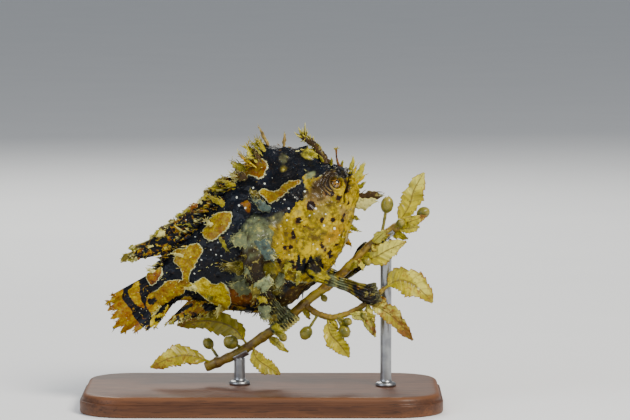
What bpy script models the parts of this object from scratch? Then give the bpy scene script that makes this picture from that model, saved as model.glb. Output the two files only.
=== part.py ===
"""Sargassum fish, life size, gripping a cut length of floating weed on a plain display stand.

Metres, +Z up, the head towards +X and the fish's right side towards -Y.
Shapes on the body are written in the body frame: distance behind the snout, height above the
body line, and distance to the fish's right. to_world turns them into the model's frame.
"""

import math

import bmesh
import bpy
import numpy as np
from mathutils import Matrix

MM = 0.001
GAP = 0.3 * MM
SEAT = 0.42 * MM  # clearance of a seated root, measured across the body's section

# How the fish is posed: the snout's place and the slope of its body line.
SNOUT = np.array((20.25, 0.0, 59.0)) * MM
BODY_PITCH = math.radians(31.0)
BACKWARDS = np.array((-math.cos(BODY_PITCH), 0.0, -math.sin(BODY_PITCH)))
UPWARDS = np.array((-math.sin(BODY_PITCH), 0.0, math.cos(BODY_PITCH)))
RIGHTWARDS = np.array((0.0, -1.0, 0.0))
BODY_AXES = np.array((BACKWARDS, UPWARDS, RIGHTWARDS))

# Body stations from lips to tail root: behind the snout, back, belly, half width.
BODY_STATIONS = MM * np.array(
    (
        (-1.4, -3.2, -5.1, 1.3),
        (-0.9, -0.6, -6.3, 3.4),
        (0.3, 1.5, -7.6, 5.2),
        (2.2, 3.4, -9.4, 6.8),
        (5.2, 6.2, -12.9, 8.3),
        (9.2, 9.2, -16.2, 9.7),
        (14.0, 11.6, -19.0, 10.7),
        (20.0, 12.5, -20.6, 11.2),
        (26.5, 11.2, -21.6, 10.9),
        (32.5, 8.8, -21.2, 9.8),
        (38.5, 6.8, -18.6, 7.8),
        (44.0, 5.2, -13.8, 5.3),
        (48.5, 4.0, -9.4, 3.4),
        (52.5, 3.0, -6.8, 2.3),
    )
)
SIDE_FULLNESS = 0.86  # under 1 makes a section fuller than an ellipse
BELLY_SWELL = 0.12  # how much wider the lower half is than the upper
BODY_SIDES = 30

HEAD_END = 21.0 * MM
TORSO_END = 41.0 * MM
TAIL_ROOT = 52.5 * MM

EYE_PLACE = np.array((3.0, -1.45)) * MM  # behind the snout, above the body line
EYE_RADIUS = 1.85 * MM
EYE_SINK = 1.0 * MM  # from the skin to the ball's centre
ORBIT_RIM = 0.45 * MM

MOUTH_FRONT = np.array((-0.9, -1.4)) * MM
MOUTH_CORNER = np.array((3.9, -6.6)) * MM
LIP_RADIUS = 0.7 * MM
LIP_SPREAD = 0.6 * MM

DORSAL_RAYS = 12
ANAL_RAYS = 7
TAIL_RAYS = 9
PECTORAL_RAYS = 9
PELVIC_RAYS = 5
MEMBRANE = 0.25 * MM  # half thickness between rays
RAY_RIDGE = 0.25 * MM  # how far a ray stands out on each face

# The weed's centre lines: the stem from its lower cut end, and the twig that leaves it.
STEM_ROUTE = MM * np.array(
    (
        (-14.25, 1.0, 9.3),
        (-9.25, 0.6, 11.4),
        (-4.25, 0.2, 14.0),
        (0.0, -0.2, 17.0),
        (4.5, -0.6, 20.25),
        (8.25, -0.9, 23.5),
        (12.5, -1.2, 27.2),
        (17.5, -1.6, 31.0),
        (22.0, -2.0, 35.2),
        (26.5, -2.3, 39.75),
        (31.5, -2.5, 43.75),
        (37.5, -2.6, 46.75),
    )
)
STEM_RADII = (1.25 * MM, 1.05 * MM)
TWIG_ROUTE = MM * np.array(
    (
        (10.6, -1.1, 25.5),
        (13.4, -2.8, 23.5),
        (17.2, -4.0, 22.5),
        (22.0, -4.7, 23.8),
        (26.5, -4.9, 26.5),
        (30.75, -5.0, 30.0),
    )
)
TWIG_RADII = (0.85 * MM, 0.6 * MM)
SHOULDER = (25.8, -2.6)  # behind the snout and above the body line, in mm
GRIP_ON_STEM = 0.385  # where the hands close on the stem, as a share of its length

# Leaves: branch, where along it, the mid line's further points, width.
LEAVES = (
    (STEM_ROUTE, 0.20, ((-7.5, 3.4, 19.0), (-14.0, 4.8, 20.6), (-21.5, 5.4, 19.4)), 6.2),
    (TWIG_ROUTE, 0.98, ((34.0, -6.0, 31.8), (38.0, -6.2, 30.6), (42.5, -5.8, 26.4)), 7.4),
    (STEM_ROUTE, 0.76, ((27.6, -4.4, 37.4), (31.5, -5.4, 39.6), (36.0, -5.2, 41.6)), 5.0),
    (STEM_ROUTE, 0.93, ((36.5, -1.4, 49.6), (38.0, -0.6, 54.0), (40.5, -0.6, 58.4)), 5.6),
    (STEM_ROUTE, 0.22, ((-1.4, -2.4, 12.0), (1.4, -3.8, 10.0), (4.6, -4.4, 8.2)), 4.2),
    (STEM_ROUTE, 0.04, ((-18.0, -0.4, 12.4), (-22.6, -1.6, 12.0), (-28.0, -2.0, 9.6)), 5.4),
    (TWIG_ROUTE, 0.36, ((17.0, -5.0, 18.6), (19.2, -5.4, 16.0), (21.8, -5.4, 12.6)), 4.8),
)
# Air bladders: branch, where along it, centre, radius, stretch.
BLADDERS = (
    (STEM_ROUTE, 0.18, (-7.8, -2.4, 16.0), 1.8, (1, 1, 1.15)),
    (STEM_ROUTE, 0.88, (31.2, -3.6, 50.6), 1.7, (1, 1, 1.35)),
    (STEM_ROUTE, 0.97, (40.2, -3.4, 48.6), 1.5, (1.2, 1, 1)),
    (TWIG_ROUTE, 0.46, (20.6, -5.6, 19.2), 1.5, (1, 1, 1.2)),
    (TWIG_ROUTE, 0.24, (11.0, -4.4, 18.6), 1.6, (1, 1, 1.2)),
    (STEM_ROUTE, 0.07, (-13.6, 3.4, 15.0), 1.4, (1, 1, 1.2)),
)

BASE_SIZE = np.array((90.0, 50.0, 5.0)) * MM
BASE_CORNER = 12.0 * MM
BASE_BEVEL = 1.0 * MM
ROD_RADIUS = 1.4 * MM
ROD_ALONG_STEM = (0.155, 0.9)  # where each rod meets the stem, as a share of its length


def smooth_rows(rows, at):
    """Smooth curve through equally spaced rows, read at the positions `at` (0 is the first row)."""
    rows = np.asarray(rows, float)
    last = len(rows) - 1
    at = np.clip(np.asarray(at, float), 0.0, last)
    low = np.minimum(at.astype(int), last - 1)
    f = (at - low)[..., None]
    slope = np.gradient(rows, axis=0)
    start = (2 * f**3 - 3 * f**2 + 1) * rows[low] + (f**3 - 2 * f**2 + f) * slope[low]
    end = (3 * f**2 - 2 * f**3) * rows[low + 1] + (f**3 - f**2) * slope[low + 1]
    return start + end


def sampled(rows, count):
    """The smooth curve through the rows, as `count` points."""
    return smooth_rows(rows, np.linspace(0, len(rows) - 1, count))


PROFILE = sampled(BODY_STATIONS, 601)


def section(behind):
    """Back height, belly height and half width of the body at that distance behind the snout."""
    return [np.interp(behind, PROFILE[:, 0], PROFILE[:, k]) for k in (1, 2, 3)]


def body_point(behind, turn):
    """Skin point in the body frame; turn runs from the back (0) over the right side to the belly."""
    behind, turn = np.broadcast_arrays(np.asarray(behind, float), np.asarray(turn, float))
    top, bottom, half = section(behind)
    rise = np.cos(turn)
    out = np.sign(np.sin(turn)) * np.abs(np.sin(turn)) ** SIDE_FULLNESS
    height = (top + bottom) / 2 + (top - bottom) / 2 * rise
    return np.stack((behind, height, half * out * (1 - BELLY_SWELL * rise)), axis=-1)


def outside(points, margin):
    """Positive outside the body grown by the margin, negative inside; body frame."""
    top, bottom, half = section(points[..., 0])
    rise = (points[..., 1] - (top + bottom) / 2) / ((top - bottom) / 2 + margin)
    width = half * (1 - BELLY_SWELL * np.clip(rise, -1, 1)) + margin
    return rise**2 + np.abs(points[..., 2] / width) ** (2 / SIDE_FULLNESS) - 1


def seat(points, outward, margin=SEAT):
    """Moves body-frame points along `outward` until they lie `margin` outside the skin."""
    outward = np.asarray(outward, float) / np.linalg.norm(outward)
    low = np.full(points.shape[:-1], -12.0 * MM)
    high = np.full(points.shape[:-1], 12.0 * MM)
    for _ in range(40):
        middle = (low + high) / 2
        out = outside(points + middle[..., None] * outward, margin) > 0
        high = np.where(out, middle, high)
        low = np.where(out, low, middle)
    return points + high[..., None] * outward


def skin(behind, height, side):
    """Skin point and outward normal at a place on the right (side 1) or left (side -1)."""
    point = seat(np.array((behind, height, 0.0)), (0, 0, side), 0.0)
    step = 0.05 * MM
    slope = [
        outside(point + step * axis, 0.0) - outside(point - step * axis, 0.0) for axis in np.eye(3)
    ]
    normal = np.array(slope)
    return point, normal / np.linalg.norm(normal)


def to_world(points):
    """Body frame to the model's frame."""
    return SNOUT + np.asarray(points) @ BODY_AXES


def to_body(points):
    """Model's frame to the body frame."""
    return (np.asarray(points) - SNOUT) @ BODY_AXES.T


def unit(vectors):
    vectors = np.asarray(vectors, float)
    return vectors / np.linalg.norm(vectors, axis=-1, keepdims=True)


def material(name, colour, roughness, metallic=0.0):
    made = bpy.data.materials.new(name)
    made.use_nodes = True
    shader = made.node_tree.nodes["Principled BSDF"]
    shader.inputs["Base Color"].default_value = (*colour, 1.0)
    shader.inputs["Roughness"].default_value = roughness
    shader.inputs["Metallic"].default_value = metallic
    return made


def make_object(name, points, faces, finish):
    """A mesh object in the model's frame, closed, with its faces pointing out."""
    mesh = bpy.data.meshes.new(name)
    mesh.from_pydata([tuple(p) for p in np.asarray(points).reshape(-1, 3)], [], faces)
    work = bmesh.new()
    work.from_mesh(mesh)
    bmesh.ops.recalc_face_normals(work, faces=work.faces)
    work.to_mesh(mesh)
    work.free()
    mesh.shade_smooth()
    mesh.set_sharp_from_angle(angle=math.radians(50))
    mesh.materials.append(finish)
    made = bpy.data.objects.new(name, mesh)
    bpy.context.scene.collection.objects.link(made)
    return made


def loft(rings):
    """Points and triangles of a closed loft through rings of equal length, capped with fans."""
    rings = np.asarray(rings)
    count, sides = rings.shape[:2]
    points = [*rings.reshape(-1, 3), rings[0].mean(0), rings[-1].mean(0)]
    faces = []
    for row in range(count - 1):
        for side in range(sides):
            a = row * sides + side
            b = row * sides + (side + 1) % sides
            faces += [(a, b, b + sides), (a, b + sides, a + sides)]
    first, last = count * sides, count * sides + 1
    for side in range(sides):
        after = (side + 1) % sides
        faces.append((first, after, side))
        end = (count - 1) * sides
        faces.append((last, end + side, end + after))
    return np.array(points), faces


def frames_along(path, across):
    """Unit direction of travel, width and thickness at each point of a path."""
    travel = unit(np.gradient(path, axis=0))
    across = np.broadcast_to(np.asarray(across, float), path.shape)
    across = unit(across - (across * travel).sum(-1, keepdims=True) * travel)
    return travel, across, np.cross(travel, across)


def tube_rings(path, widths, depths, across, sides):
    """Elliptic rings along a path; across is the direction that the widths are measured in."""
    _, wide, deep = frames_along(path, across)
    turn = np.linspace(0, 2 * math.pi, sides, endpoint=False)
    x = np.broadcast_to(widths, len(path))[:, None, None] * np.cos(turn)[None, :, None]
    y = np.broadcast_to(depths, len(path))[:, None, None] * np.sin(turn)[None, :, None]
    return path[:, None, :] + x * wide[:, None, :] + y * deep[:, None, :]


def sheet(mid, half, normal):
    """Points and triangles of a closed thin sheet; both faces are split along the same diagonals."""
    rows, columns = mid.shape[:2]
    step = half[..., None] * np.asarray(normal)
    points = np.concatenate(((mid + step).reshape(-1, 3), (mid - step).reshape(-1, 3)))
    back = rows * columns
    faces = []
    for i in range(rows - 1):
        for j in range(columns - 1):
            a, b = i * columns + j, i * columns + j + 1
            c, d = a + columns, b + columns
            faces += [(a, c, d), (a, d, b), (back + a, back + d, back + c), (back + a, back + b, back + d)]
    edge = [i * columns for i in range(rows)]
    edge += [(rows - 1) * columns + j for j in range(1, columns)]
    edge += [i * columns + columns - 1 for i in range(rows - 2, -1, -1)]
    edge += list(range(columns - 2, 0, -1))
    for here, there in zip(edge, edge[1:] + edge[:1]):
        faces += [(here, there, back + there), (here, back + there, back + here)]
    return points, faces


def evaluated(made):
    """Applies an object's modifiers to its mesh."""
    bpy.context.view_layer.update()
    graph = bpy.context.evaluated_depsgraph_get()
    mesh = bpy.data.meshes.new_from_object(made.evaluated_get(graph))
    made.modifiers.clear()
    made.data = mesh


def keep_largest(made):
    """Keeps the closed surface that holds most volume, and removes any loose scrap or hollow."""
    work = bmesh.new()
    work.from_mesh(made.data)
    left, shells = set(work.faces), []
    while left:
        stack, shell = [left.pop()], []
        while stack:
            face = stack.pop()
            shell.append(face)
            near = {other for edge in face.edges for other in edge.link_faces} & left
            left -= near
            stack += near
        shells.append(shell)
    shells.sort(key=lambda shell: abs(sum(f.calc_center_median().dot(f.normal) * f.calc_area() for f in shell)))
    scraps = [face for shell in shells[:-1] for face in shell]
    bmesh.ops.delete(work, geom=scraps, context="FACES")
    work.to_mesh(made.data)
    work.free()


def combine(made, pieces, operation):
    """Unites the pieces with the object, or cuts them from it, in one Boolean, and removes them."""
    group = bpy.data.collections.new(made.name + "_pieces")
    bpy.context.scene.collection.children.link(group)
    for piece in pieces:
        bpy.context.scene.collection.objects.unlink(piece)
        group.objects.link(piece)
    boolean = made.modifiers.new(operation.lower(), "BOOLEAN")
    boolean.operation = operation
    boolean.operand_type = "COLLECTION"
    boolean.collection = group
    boolean.solver = "MANIFOLD"
    evaluated(made)
    keep_largest(made)
    for piece in pieces:
        bpy.data.objects.remove(piece)
    bpy.data.collections.remove(group)


def ball(name, centre, radius, finish, around=14, rings=9, stretch=(1, 1, 1)):
    mesh = bpy.data.meshes.new(name)
    work = bmesh.new()
    bmesh.ops.create_uvsphere(work, u_segments=around, v_segments=rings, radius=radius)
    bmesh.ops.transform(
        work, matrix=Matrix.Translation(tuple(centre)) @ Matrix.Diagonal((*stretch, 1.0)), verts=work.verts
    )
    work.to_mesh(mesh)
    work.free()
    mesh.shade_smooth()
    mesh.materials.append(finish)
    made = bpy.data.objects.new(name, mesh)
    bpy.context.scene.collection.objects.link(made)
    return made


def tassel(root, direction, length, width, across, bend, finish, flatness=0.3):
    """A flat, tapered flap of skin in the body frame, its root sunk in the skin."""
    direction = unit(direction)
    sink = 0.8 * MM
    share = np.array((0.0, 0.5, 1.0))
    path = root + (share * (length + sink) - sink)[:, None] * direction
    path = path + (share**2 * length)[:, None] * np.asarray(bend)
    widths = width / 2 * np.array((0.95, 1.0, 0.18))
    depths = np.maximum(width / 2 * flatness, 0.27 * MM) * np.array((1.0, 0.95, 0.35))
    points, faces = loft(tube_rings(path, widths, depths, across, 5))
    return make_object("tassel", to_world(points), faces, finish)


def side_tassels(places, finish, seed):
    """Tassels on both flanks at (behind, height, length, width) places, laid back along the body."""
    draw = np.random.default_rng(seed)
    made = []
    for behind, height, length, width in places:
        for side in (1, -1):
            point, normal = skin(behind * MM, height * MM, side)
            lean = unit(normal + np.array((draw.uniform(0.4, 1.0), draw.uniform(-0.7, 0.3), 0)))
            bend = np.array((0.25, draw.uniform(-0.2, 0.2), 0))
            made.append(tassel(point, lean, length * MM, width * MM, (0, 1, 0.2), bend, finish))
    return made


def body_rings(start, end, count):
    """Rings of the body between two distances behind the snout, in the model's frame."""
    steps = np.linspace(0, 1, len(PROFILE))
    first, last = np.interp((start, end), PROFILE[:, 0], steps)
    behind = np.interp(np.linspace(first, last, count), steps, PROFILE[:, 0])
    turn = np.linspace(0, 2 * math.pi, BODY_SIDES, endpoint=False)
    return to_world(body_point(behind[:, None], turn[None, :]))


def lip(offset, finish):
    """A lip from one mouth corner over the front to the other, half sunk in the skin."""
    angle = np.linspace(-1, 1, 15) * math.pi / 2
    line = unit(MOUTH_CORNER - MOUTH_FRONT)
    place = MOUTH_FRONT + (1 - np.cos(angle))[:, None] * (MOUTH_CORNER - MOUTH_FRONT)
    place = place + offset * np.array((-line[1], line[0]))
    aside = 6.0 * MM * np.sin(angle)
    start = np.column_stack((place + 9.0 * MM * line, aside * 0.0))
    way = np.column_stack((-np.outer(np.cos(angle), line), 1.15 * np.sin(angle)))
    path = np.array([seat(p, w, 0.0) for p, w in zip(start, way)])
    radii = LIP_RADIUS * (0.5 + 0.5 * np.cos(angle) ** 0.5)
    points, faces = loft(tube_rings(path, radii, radii, (-line[1], line[0], 0.001), 6))
    return make_object("lip", to_world(points), faces, finish)


def eye_frame(side):
    """Centre of the eyeball and the way that it looks, in the body frame."""
    point, normal = skin(*EYE_PLACE, side)
    return point - EYE_SINK * normal, normal


def orbit_rim(side, finish):
    """Fold of skin that rings the eye."""
    centre, normal = eye_frame(side)
    first = unit(np.cross(normal, (0, 1, 0)))
    second = np.cross(normal, first)
    turn = np.linspace(0, 2 * math.pi, 14, endpoint=False)
    around = np.cos(turn)[:, None] * first + np.sin(turn)[:, None] * second
    path = seat(centre + (EYE_RADIUS + 0.4 * MM) * around, normal, 0.0)
    small = np.linspace(0, 2 * math.pi, 5, endpoint=False)
    out = np.cos(small)[None, :, None] * around[:, None, :]
    rings = path[:, None, :] + ORBIT_RIM * (out + np.sin(small)[None, :, None] * normal)
    count, sides = rings.shape[:2]
    faces = []
    for i in range(count):
        for j in range(sides):
            k, m = (i + 1) % count, (j + 1) % sides
            faces.append((i * sides + j, i * sides + m, k * sides + m, k * sides + j))
    return make_object("rim", to_world(rings.reshape(-1, 3)), faces, finish)


def nostril(side, finish):
    """Short tube of skin between the upper lip and the eye."""
    point, normal = skin(0.9 * MM, 1.0 * MM, side)
    way = unit(normal + np.array((-0.5, 0.3, 0)))
    path = point + np.linspace(-0.7, 0.7, 3)[:, None] * MM * way
    radii = np.array((0.5, 0.48, 0.32)) * MM
    points, faces = loft(tube_rings(path, radii, radii, (1, 0.2, 0), 6))
    return make_object("nostril", to_world(points), faces, finish)


def chin_tassels(finish):
    """Flaps on the chin and throat: (behind, height, aside, way, length, width)."""
    flaps = (
        (-0.5, -2.6, 1.2, (-0.87, 0.48, 0.12), 3.4, 1.1),
        (-0.5, -3.4, -1.6, (-0.9, 0.3, -0.3), 2.8, 1.0),
        (-0.5, -5.0, 1.4, (-1.0, 0.02, 0.15), 3.5, 1.1),
        (0.0, -6.2, -1.6, (-0.95, -0.15, -0.3), 3.4, 1.2),
        (0.6, -7.8, 1.6, (-0.88, -0.46, 0.15), 5.2, 1.3),
        (1.3, -9.0, 2.0, (-0.3, -0.95, 0.2), 4.4, 1.8),
        (2.6, -10.4, -2.2, (-0.5, -0.8, -0.3), 3.4, 1.3),
        (5.4, -13.2, 2.4, (-0.3, -0.9, 0.3), 2.8, 1.2),
        (8.6, -15.6, -2.6, (-0.2, -0.95, -0.3), 2.6, 1.2),
    )
    made = []
    for behind, height, aside, way, length, width in flaps:
        inside = np.array((behind, height, aside)) * MM - 2.0 * MM * unit(way)
        root = seat(inside, way, 0.0)
        bend = np.array((0, 0.12, 0))
        made.append(tassel(root, way, length * MM, width * MM, (0.3, 1, 0), bend, finish))
    return made


def make_head(finish):
    points, faces = loft(body_rings(-1.4 * MM, HEAD_END, 16))
    head = make_object("head", points, faces, finish)
    pieces = [lip(LIP_SPREAD, finish), lip(-LIP_SPREAD, finish)]
    pieces += [orbit_rim(side, finish) for side in (1, -1)]
    pieces += [nostril(side, finish) for side in (1, -1)]
    pieces += chin_tassels(finish)
    places = ((19.0, 4.6, 3.6, 1.9), (13.0, -12.5, 2.4, 1.1), (16.5, -7.0, 2.2, 1.0))
    pieces += side_tassels(places, finish, 5)
    combine(head, pieces, "UNION")
    sockets = []
    for side in (1, -1):
        centre, _ = eye_frame(side)
        sockets.append(ball("socket", to_world(centre), EYE_RADIUS + GAP, finish, 16, 10))
    combine(head, sockets, "DIFFERENCE")


def make_eyes(finish):
    for name, side in (("eye_right", 1), ("eye_left", -1)):
        centre, _ = eye_frame(side)
        ball(name, to_world(centre), EYE_RADIUS, finish)


def make_torso(finish):
    points, faces = loft(body_rings(HEAD_END + GAP, TORSO_END, 9))
    torso = make_object("torso", points, faces, finish)
    places = (
        (23.6, 7.6, 2.8, 1.4),
        (32.2, 0.4, 2.4, 1.1),
        (35.4, 5.2, 2.8, 1.3),
        (38.4, -4.6, 2.2, 1.2),
        (37.0, -12.5, 2.6, 1.4),
    )
    combine(torso, side_tassels(places, finish, 11), "UNION")


def make_tail_root(finish):
    points, faces = loft(body_rings(TORSO_END + GAP, TAIL_ROOT, 6))
    tail = make_object("tail_root", points, faces, finish)
    places = ((43.6, -2.6, 2.4, 1.2), (44.6, -9.6, 2.6, 1.3), (50.0, 1.4, 1.8, 1.0))
    combine(tail, side_tassels(places, finish, 17), "UNION")


def ray_columns(rays):
    """Positions across a fin in ray numbers, and how much of the ridge stands at each."""
    offsets = np.array((0.0, 0.22, 0.5, 0.78))
    place = (np.arange(rays - 1)[:, None] + offsets).ravel()
    ridge = np.tile((1.0, 0.12, 0.0, 0.12), rays - 1)
    return np.append(place, rays - 1.0), np.append(ridge, 1.0)


def ray_fin(name, rays, root_of, tip_of, notch, wave, finish, rows=6):
    """A fin in the body's middle plane: rays run from root_of(share) to tip_of(share).

    The rays are ridges on both faces, and the edge is notched between them.
    """
    place, ridge = ray_columns(rays)
    share = place / (rays - 1)
    root, tip = root_of(share), tip_of(share)
    along = np.linspace(0, 1, rows)[None, :, None]
    valley = (np.abs((place % 1.0) - 0.5) < 0.01)[:, None, None] * notch
    reach = along * (1 - valley * along**3)
    mid = root[:, None, :] * (1 - reach) + tip[:, None, :] * reach
    sway = wave * np.sin(place * 2.1)[:, None] * along[..., 0] ** 2
    mid = np.concatenate((mid, sway[..., None]), axis=-1)
    thin = 1 - 0.35 * along[..., 0]
    half = MEMBRANE + RAY_RIDGE * ridge[:, None] * thin
    points, faces = sheet(mid, half, (0, 0, 1.0))
    return make_object(name, to_world(points), faces, finish)


def make_dorsal_fin(finish):
    """Soft dorsal fin, folded low along the back with a free lobe behind it."""
    line = ((26.6, 13.9), (31.0, 13.1), (37.0, 12.0), (43.5, 11.4), (51.0, 10.6), (59.0, 9.2))
    outline = MM * np.array(line)

    def root(share):
        behind = (22.6 + 24.0 * share) * MM
        return np.column_stack((behind, section(behind)[0] + SEAT))

    def tip(share):
        return smooth_rows(outline, share * (len(outline) - 1))

    fin = ray_fin("dorsal_fin", DORSAL_RAYS, root, tip, 0.16, 0.6 * MM, finish, rows=4)
    pieces = []
    for ray in range(1, DORSAL_RAYS, 2):
        share = np.array((ray / (DORSAL_RAYS - 1),))
        along = unit(tip(share)[0] - root(share)[0])
        point = np.append(tip(share)[0] - 0.5 * MM * along, 0.6 * MM * math.sin(ray * 2.1))
        lift = (0.0, 0.35, 0.2)[ray % 3]
        way = np.append(along, 0) + np.array((0, lift, 0.25 * (-1) ** (ray // 2)))
        length = (1.8, 2.4, 2.1)[ray % 3] * MM
        pieces.append(tassel(point, way, length, 0.95 * MM, (0, 0, 1), (0, 0, 0), finish))
    combine(fin, pieces, "UNION")


def make_anal_fin(finish):
    line = ((46.0, -14.9), (50.0, -13.4), (54.5, -11.9), (58.4, -10.2))
    outline = MM * np.array(line)

    def root(share):
        behind = (41.8 + 7.6 * share) * MM
        return np.column_stack((behind, section(behind)[1] - SEAT))

    def tip(share):
        return smooth_rows(outline, share * (len(outline) - 1))

    ray_fin("anal_fin", ANAL_RAYS, root, tip, 0.2, 0.5 * MM, finish, rows=4)


def make_tail_fin(finish):
    line = (
        (66.0, 3.0),
        (69.2, 1.4),
        (70.4, -1.4),
        (70.0, -4.4),
        (68.0, -7.2),
        (64.6, -9.2),
        (60.8, -9.9),
    )
    outline = MM * np.array(line)

    def root(share):
        return np.column_stack((np.full_like(share, TAIL_ROOT + GAP), (2.6 - 9.0 * share) * MM))

    def tip(share):
        return smooth_rows(outline, share * (len(outline) - 1))

    ray_fin("tail_fin", TAIL_RAYS, root, tip, 0.1, 0.6 * MM, finish, rows=5)


def spine_with_tassels(name, route, widths, depths, tufts, finish, sides=8, rows=6):
    """A fleshy dorsal spine in the body's middle plane, seated on the skin, with tassels."""
    path = sampled(np.asarray(route) * MM, rows)
    path = np.column_stack((path, np.zeros(len(path))))
    widths = sampled(np.array(widths)[:, None] * MM, rows)[:, 0]
    depths = sampled(np.array(depths)[:, None] * MM, rows)[:, 0]
    rings = tube_rings(path, widths, depths, (0, 0, 1), sides)
    inner = [path[0] + share * (rings[0] - path[0]) for share in (0.34, 0.67, 1.0)]
    seated = [seat(ring, (0, 1, 0)) for ring in inner]
    points, faces = loft([*seated, *rings[1:]])
    points[-2] = seat(path[0], (0, 1, 0))
    spine = make_object(name, to_world(points), faces, finish)
    pieces = []
    for share, way, length, width in tufts:
        point = smooth_rows(path, share * (len(path) - 1))
        inside = point + 0.6 * smooth_rows(depths[:, None], share * (len(path) - 1))[0] * unit(way)
        pieces.append(tassel(inside, way, length * MM, width * MM, (0.2, 0.2, 1), (0, 0, 0), finish))
    combine(spine, pieces, "UNION")


def make_dorsal_spines(finish):
    """The lure's stalk, the second spine and the broad third spine, in order from the snout."""
    spine_with_tassels(
        "lure",
        ((0.3, 1.6), (0.0, 2.9), (-0.5, 4.1), (-1.1, 5.2)),
        (0.45, 0.34, 0.3, 0.27),
        (0.45, 0.34, 0.3, 0.27),
        ((0.9, (-0.7, 0.8, 0.3), 1.2, 0.6), (0.9, (0.4, 1, -0.3), 1.1, 0.6)),
        finish,
        sides=6,
    )
    second = (
        (0.97, (1.0, 0.1, 0.3), 2.3, 0.8),
        (0.96, (0.8, 0.8, -0.4), 2.0, 0.8),
        (0.93, (0.1, 1.0, 0.5), 1.6, 0.7),
        (0.9, (-0.5, 0.9, -0.4), 1.8, 0.7),
        (0.78, (-0.9, 0.5, 0.4), 1.7, 0.8),
        (0.6, (-0.9, 0.6, -0.4), 1.6, 0.8),
        (0.4, (-0.8, 0.5, 0.5), 1.4, 0.8),
        (0.2, (-0.7, 0.7, -0.3), 1.6, 0.8),
    )
    spine_with_tassels(
        "second_spine",
        ((2.9, 4.3), (2.7, 6.6), (2.9, 8.8), (3.5, 10.8), (4.6, 12.6)),
        (1.2, 1.0, 0.9, 0.85, 0.6),
        (1.1, 0.95, 0.9, 0.85, 0.55),
        second,
        finish,
        sides=8,
    )
    make_third_spine(finish)


def make_third_spine(finish):
    """The broad third spine under thick skin: a dome that follows the back, with tassels behind.

    Each ring is a scaled copy of the footprint, set on the skin and raised by its own lift.
    """
    turn = np.linspace(0, 2 * math.pi, 20, endpoint=False)
    footprint = np.column_stack((7.6 * np.cos(turn), 0 * turn, 5.2 * np.sin(turn))) * MM
    centre = np.array((13.2, 12.0, 0.0)) * MM
    up = np.array((0.0, 1.0, 0.0))
    underside = [seat(centre + scale * footprint, up) for scale in (0.33, 0.67, 1.0)]
    dome = ((1.0, 0.6), (0.93, 1.8), (0.76, 2.8), (0.5, 3.45), (0.23, 3.75))
    raised = [seat(centre + scale * footprint, up) + lift * MM * up for scale, lift in dome]
    points, faces = loft([*underside, *raised])
    points[-2] = seat(centre, up)
    points[-1] = seat(centre, up) + 3.8 * MM * up
    spine = make_object("third_spine", to_world(points), faces, finish)
    tufts = (
        (19.0, 0.6, 3.0, (0.9, 0.8, 0.3), 3.2, 1.1),
        (18.4, 2.2, 2.6, (1.0, 0.7, 0.5), 3.0, 1.2),
        (18.0, -2.0, 2.8, (0.9, 0.9, -0.5), 3.2, 1.1),
        (12.9, -0.4, 3.0, (-0.1, 1.0, -0.1), 3.4, 0.8),
        (9.3, 0.6, 2.6, (-0.5, 1.0, 0.2), 2.4, 0.8),
        (16.4, 3.2, 2.4, (0.8, 0.6, 0.9), 2.6, 1.1),
        (16.0, -3.2, 2.2, (0.8, 0.6, -0.9), 2.6, 1.1),
    )
    pieces = []
    for behind, aside, lift, way, length, width in tufts:
        root = seat(np.array((behind, 12.0, aside)) * MM, up) + (lift - 0.3) * MM * up
        pieces.append(tassel(root, way, length * MM, width * MM, (0.2, 0.2, 1), (0, 0, 0), finish))
    combine(spine, pieces, "UNION")


def limb(name, path, across, widths, depths, flatness, rays, notch, root_way, finish):
    """An arm that flattens to a hand of rays: one closed loft, seated on the skin at its root.

    Columns alternate between a ray's crest and the web; between rays the tips are set back.
    """
    travel, wide, deep = frames_along(path, across)
    columns = 2 * rays + 1
    c = np.linspace(-1, 1, columns)
    crest = np.where(np.arange(columns) % 2 == 1, 1.0, 0.5)
    crest[[0, -1]] = 0.0
    flat = np.asarray(flatness)[:, None]
    x = (1 - flat) * np.sin(c * math.pi / 2) + flat * c
    y = (1 - flat) * np.cos(c * math.pi / 2) + flat * crest
    fan = np.maximum(0, (np.arange(len(path)) - (len(path) - 5)) / 4.0)[:, None] ** 2
    set_back = fan * notch * (np.arange(columns) % 2 == 0)
    upper = (
        path[:, None, :]
        + (np.asarray(widths)[:, None] * x)[..., None] * wide[:, None, :]
        - set_back[..., None] * travel[:, None, :]
    )
    lift = (np.asarray(depths)[:, None] * y)[..., None] * deep[:, None, :]
    rings = np.concatenate((upper + lift, (upper - lift)[:, -2:0:-1]), axis=1)
    shoulder = [path[0] + share * (rings[0] - path[0]) for share in (0.5, 1.0)]
    seated = [to_world(seat(to_body(ring), root_way)) for ring in shoulder]
    points, faces = loft([*seated, *rings[1:]])
    points[-2] = to_world(seat(to_body(path[0]), root_way))
    return make_object(name, points, faces, finish)


def route_frame(route, share):
    """Point, direction and two side directions on a route: towards the viewer, and down."""
    at = share * (len(route) - 1)
    point = smooth_rows(route, at)
    travel = unit(smooth_rows(route, at + 0.05) - smooth_rows(route, at - 0.05))
    near = unit(RIGHTWARDS - (RIGHTWARDS @ travel) * travel)
    down = np.cross(travel, near)
    down = down if down[2] < 0 else -down
    return point, travel, near, down


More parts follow.
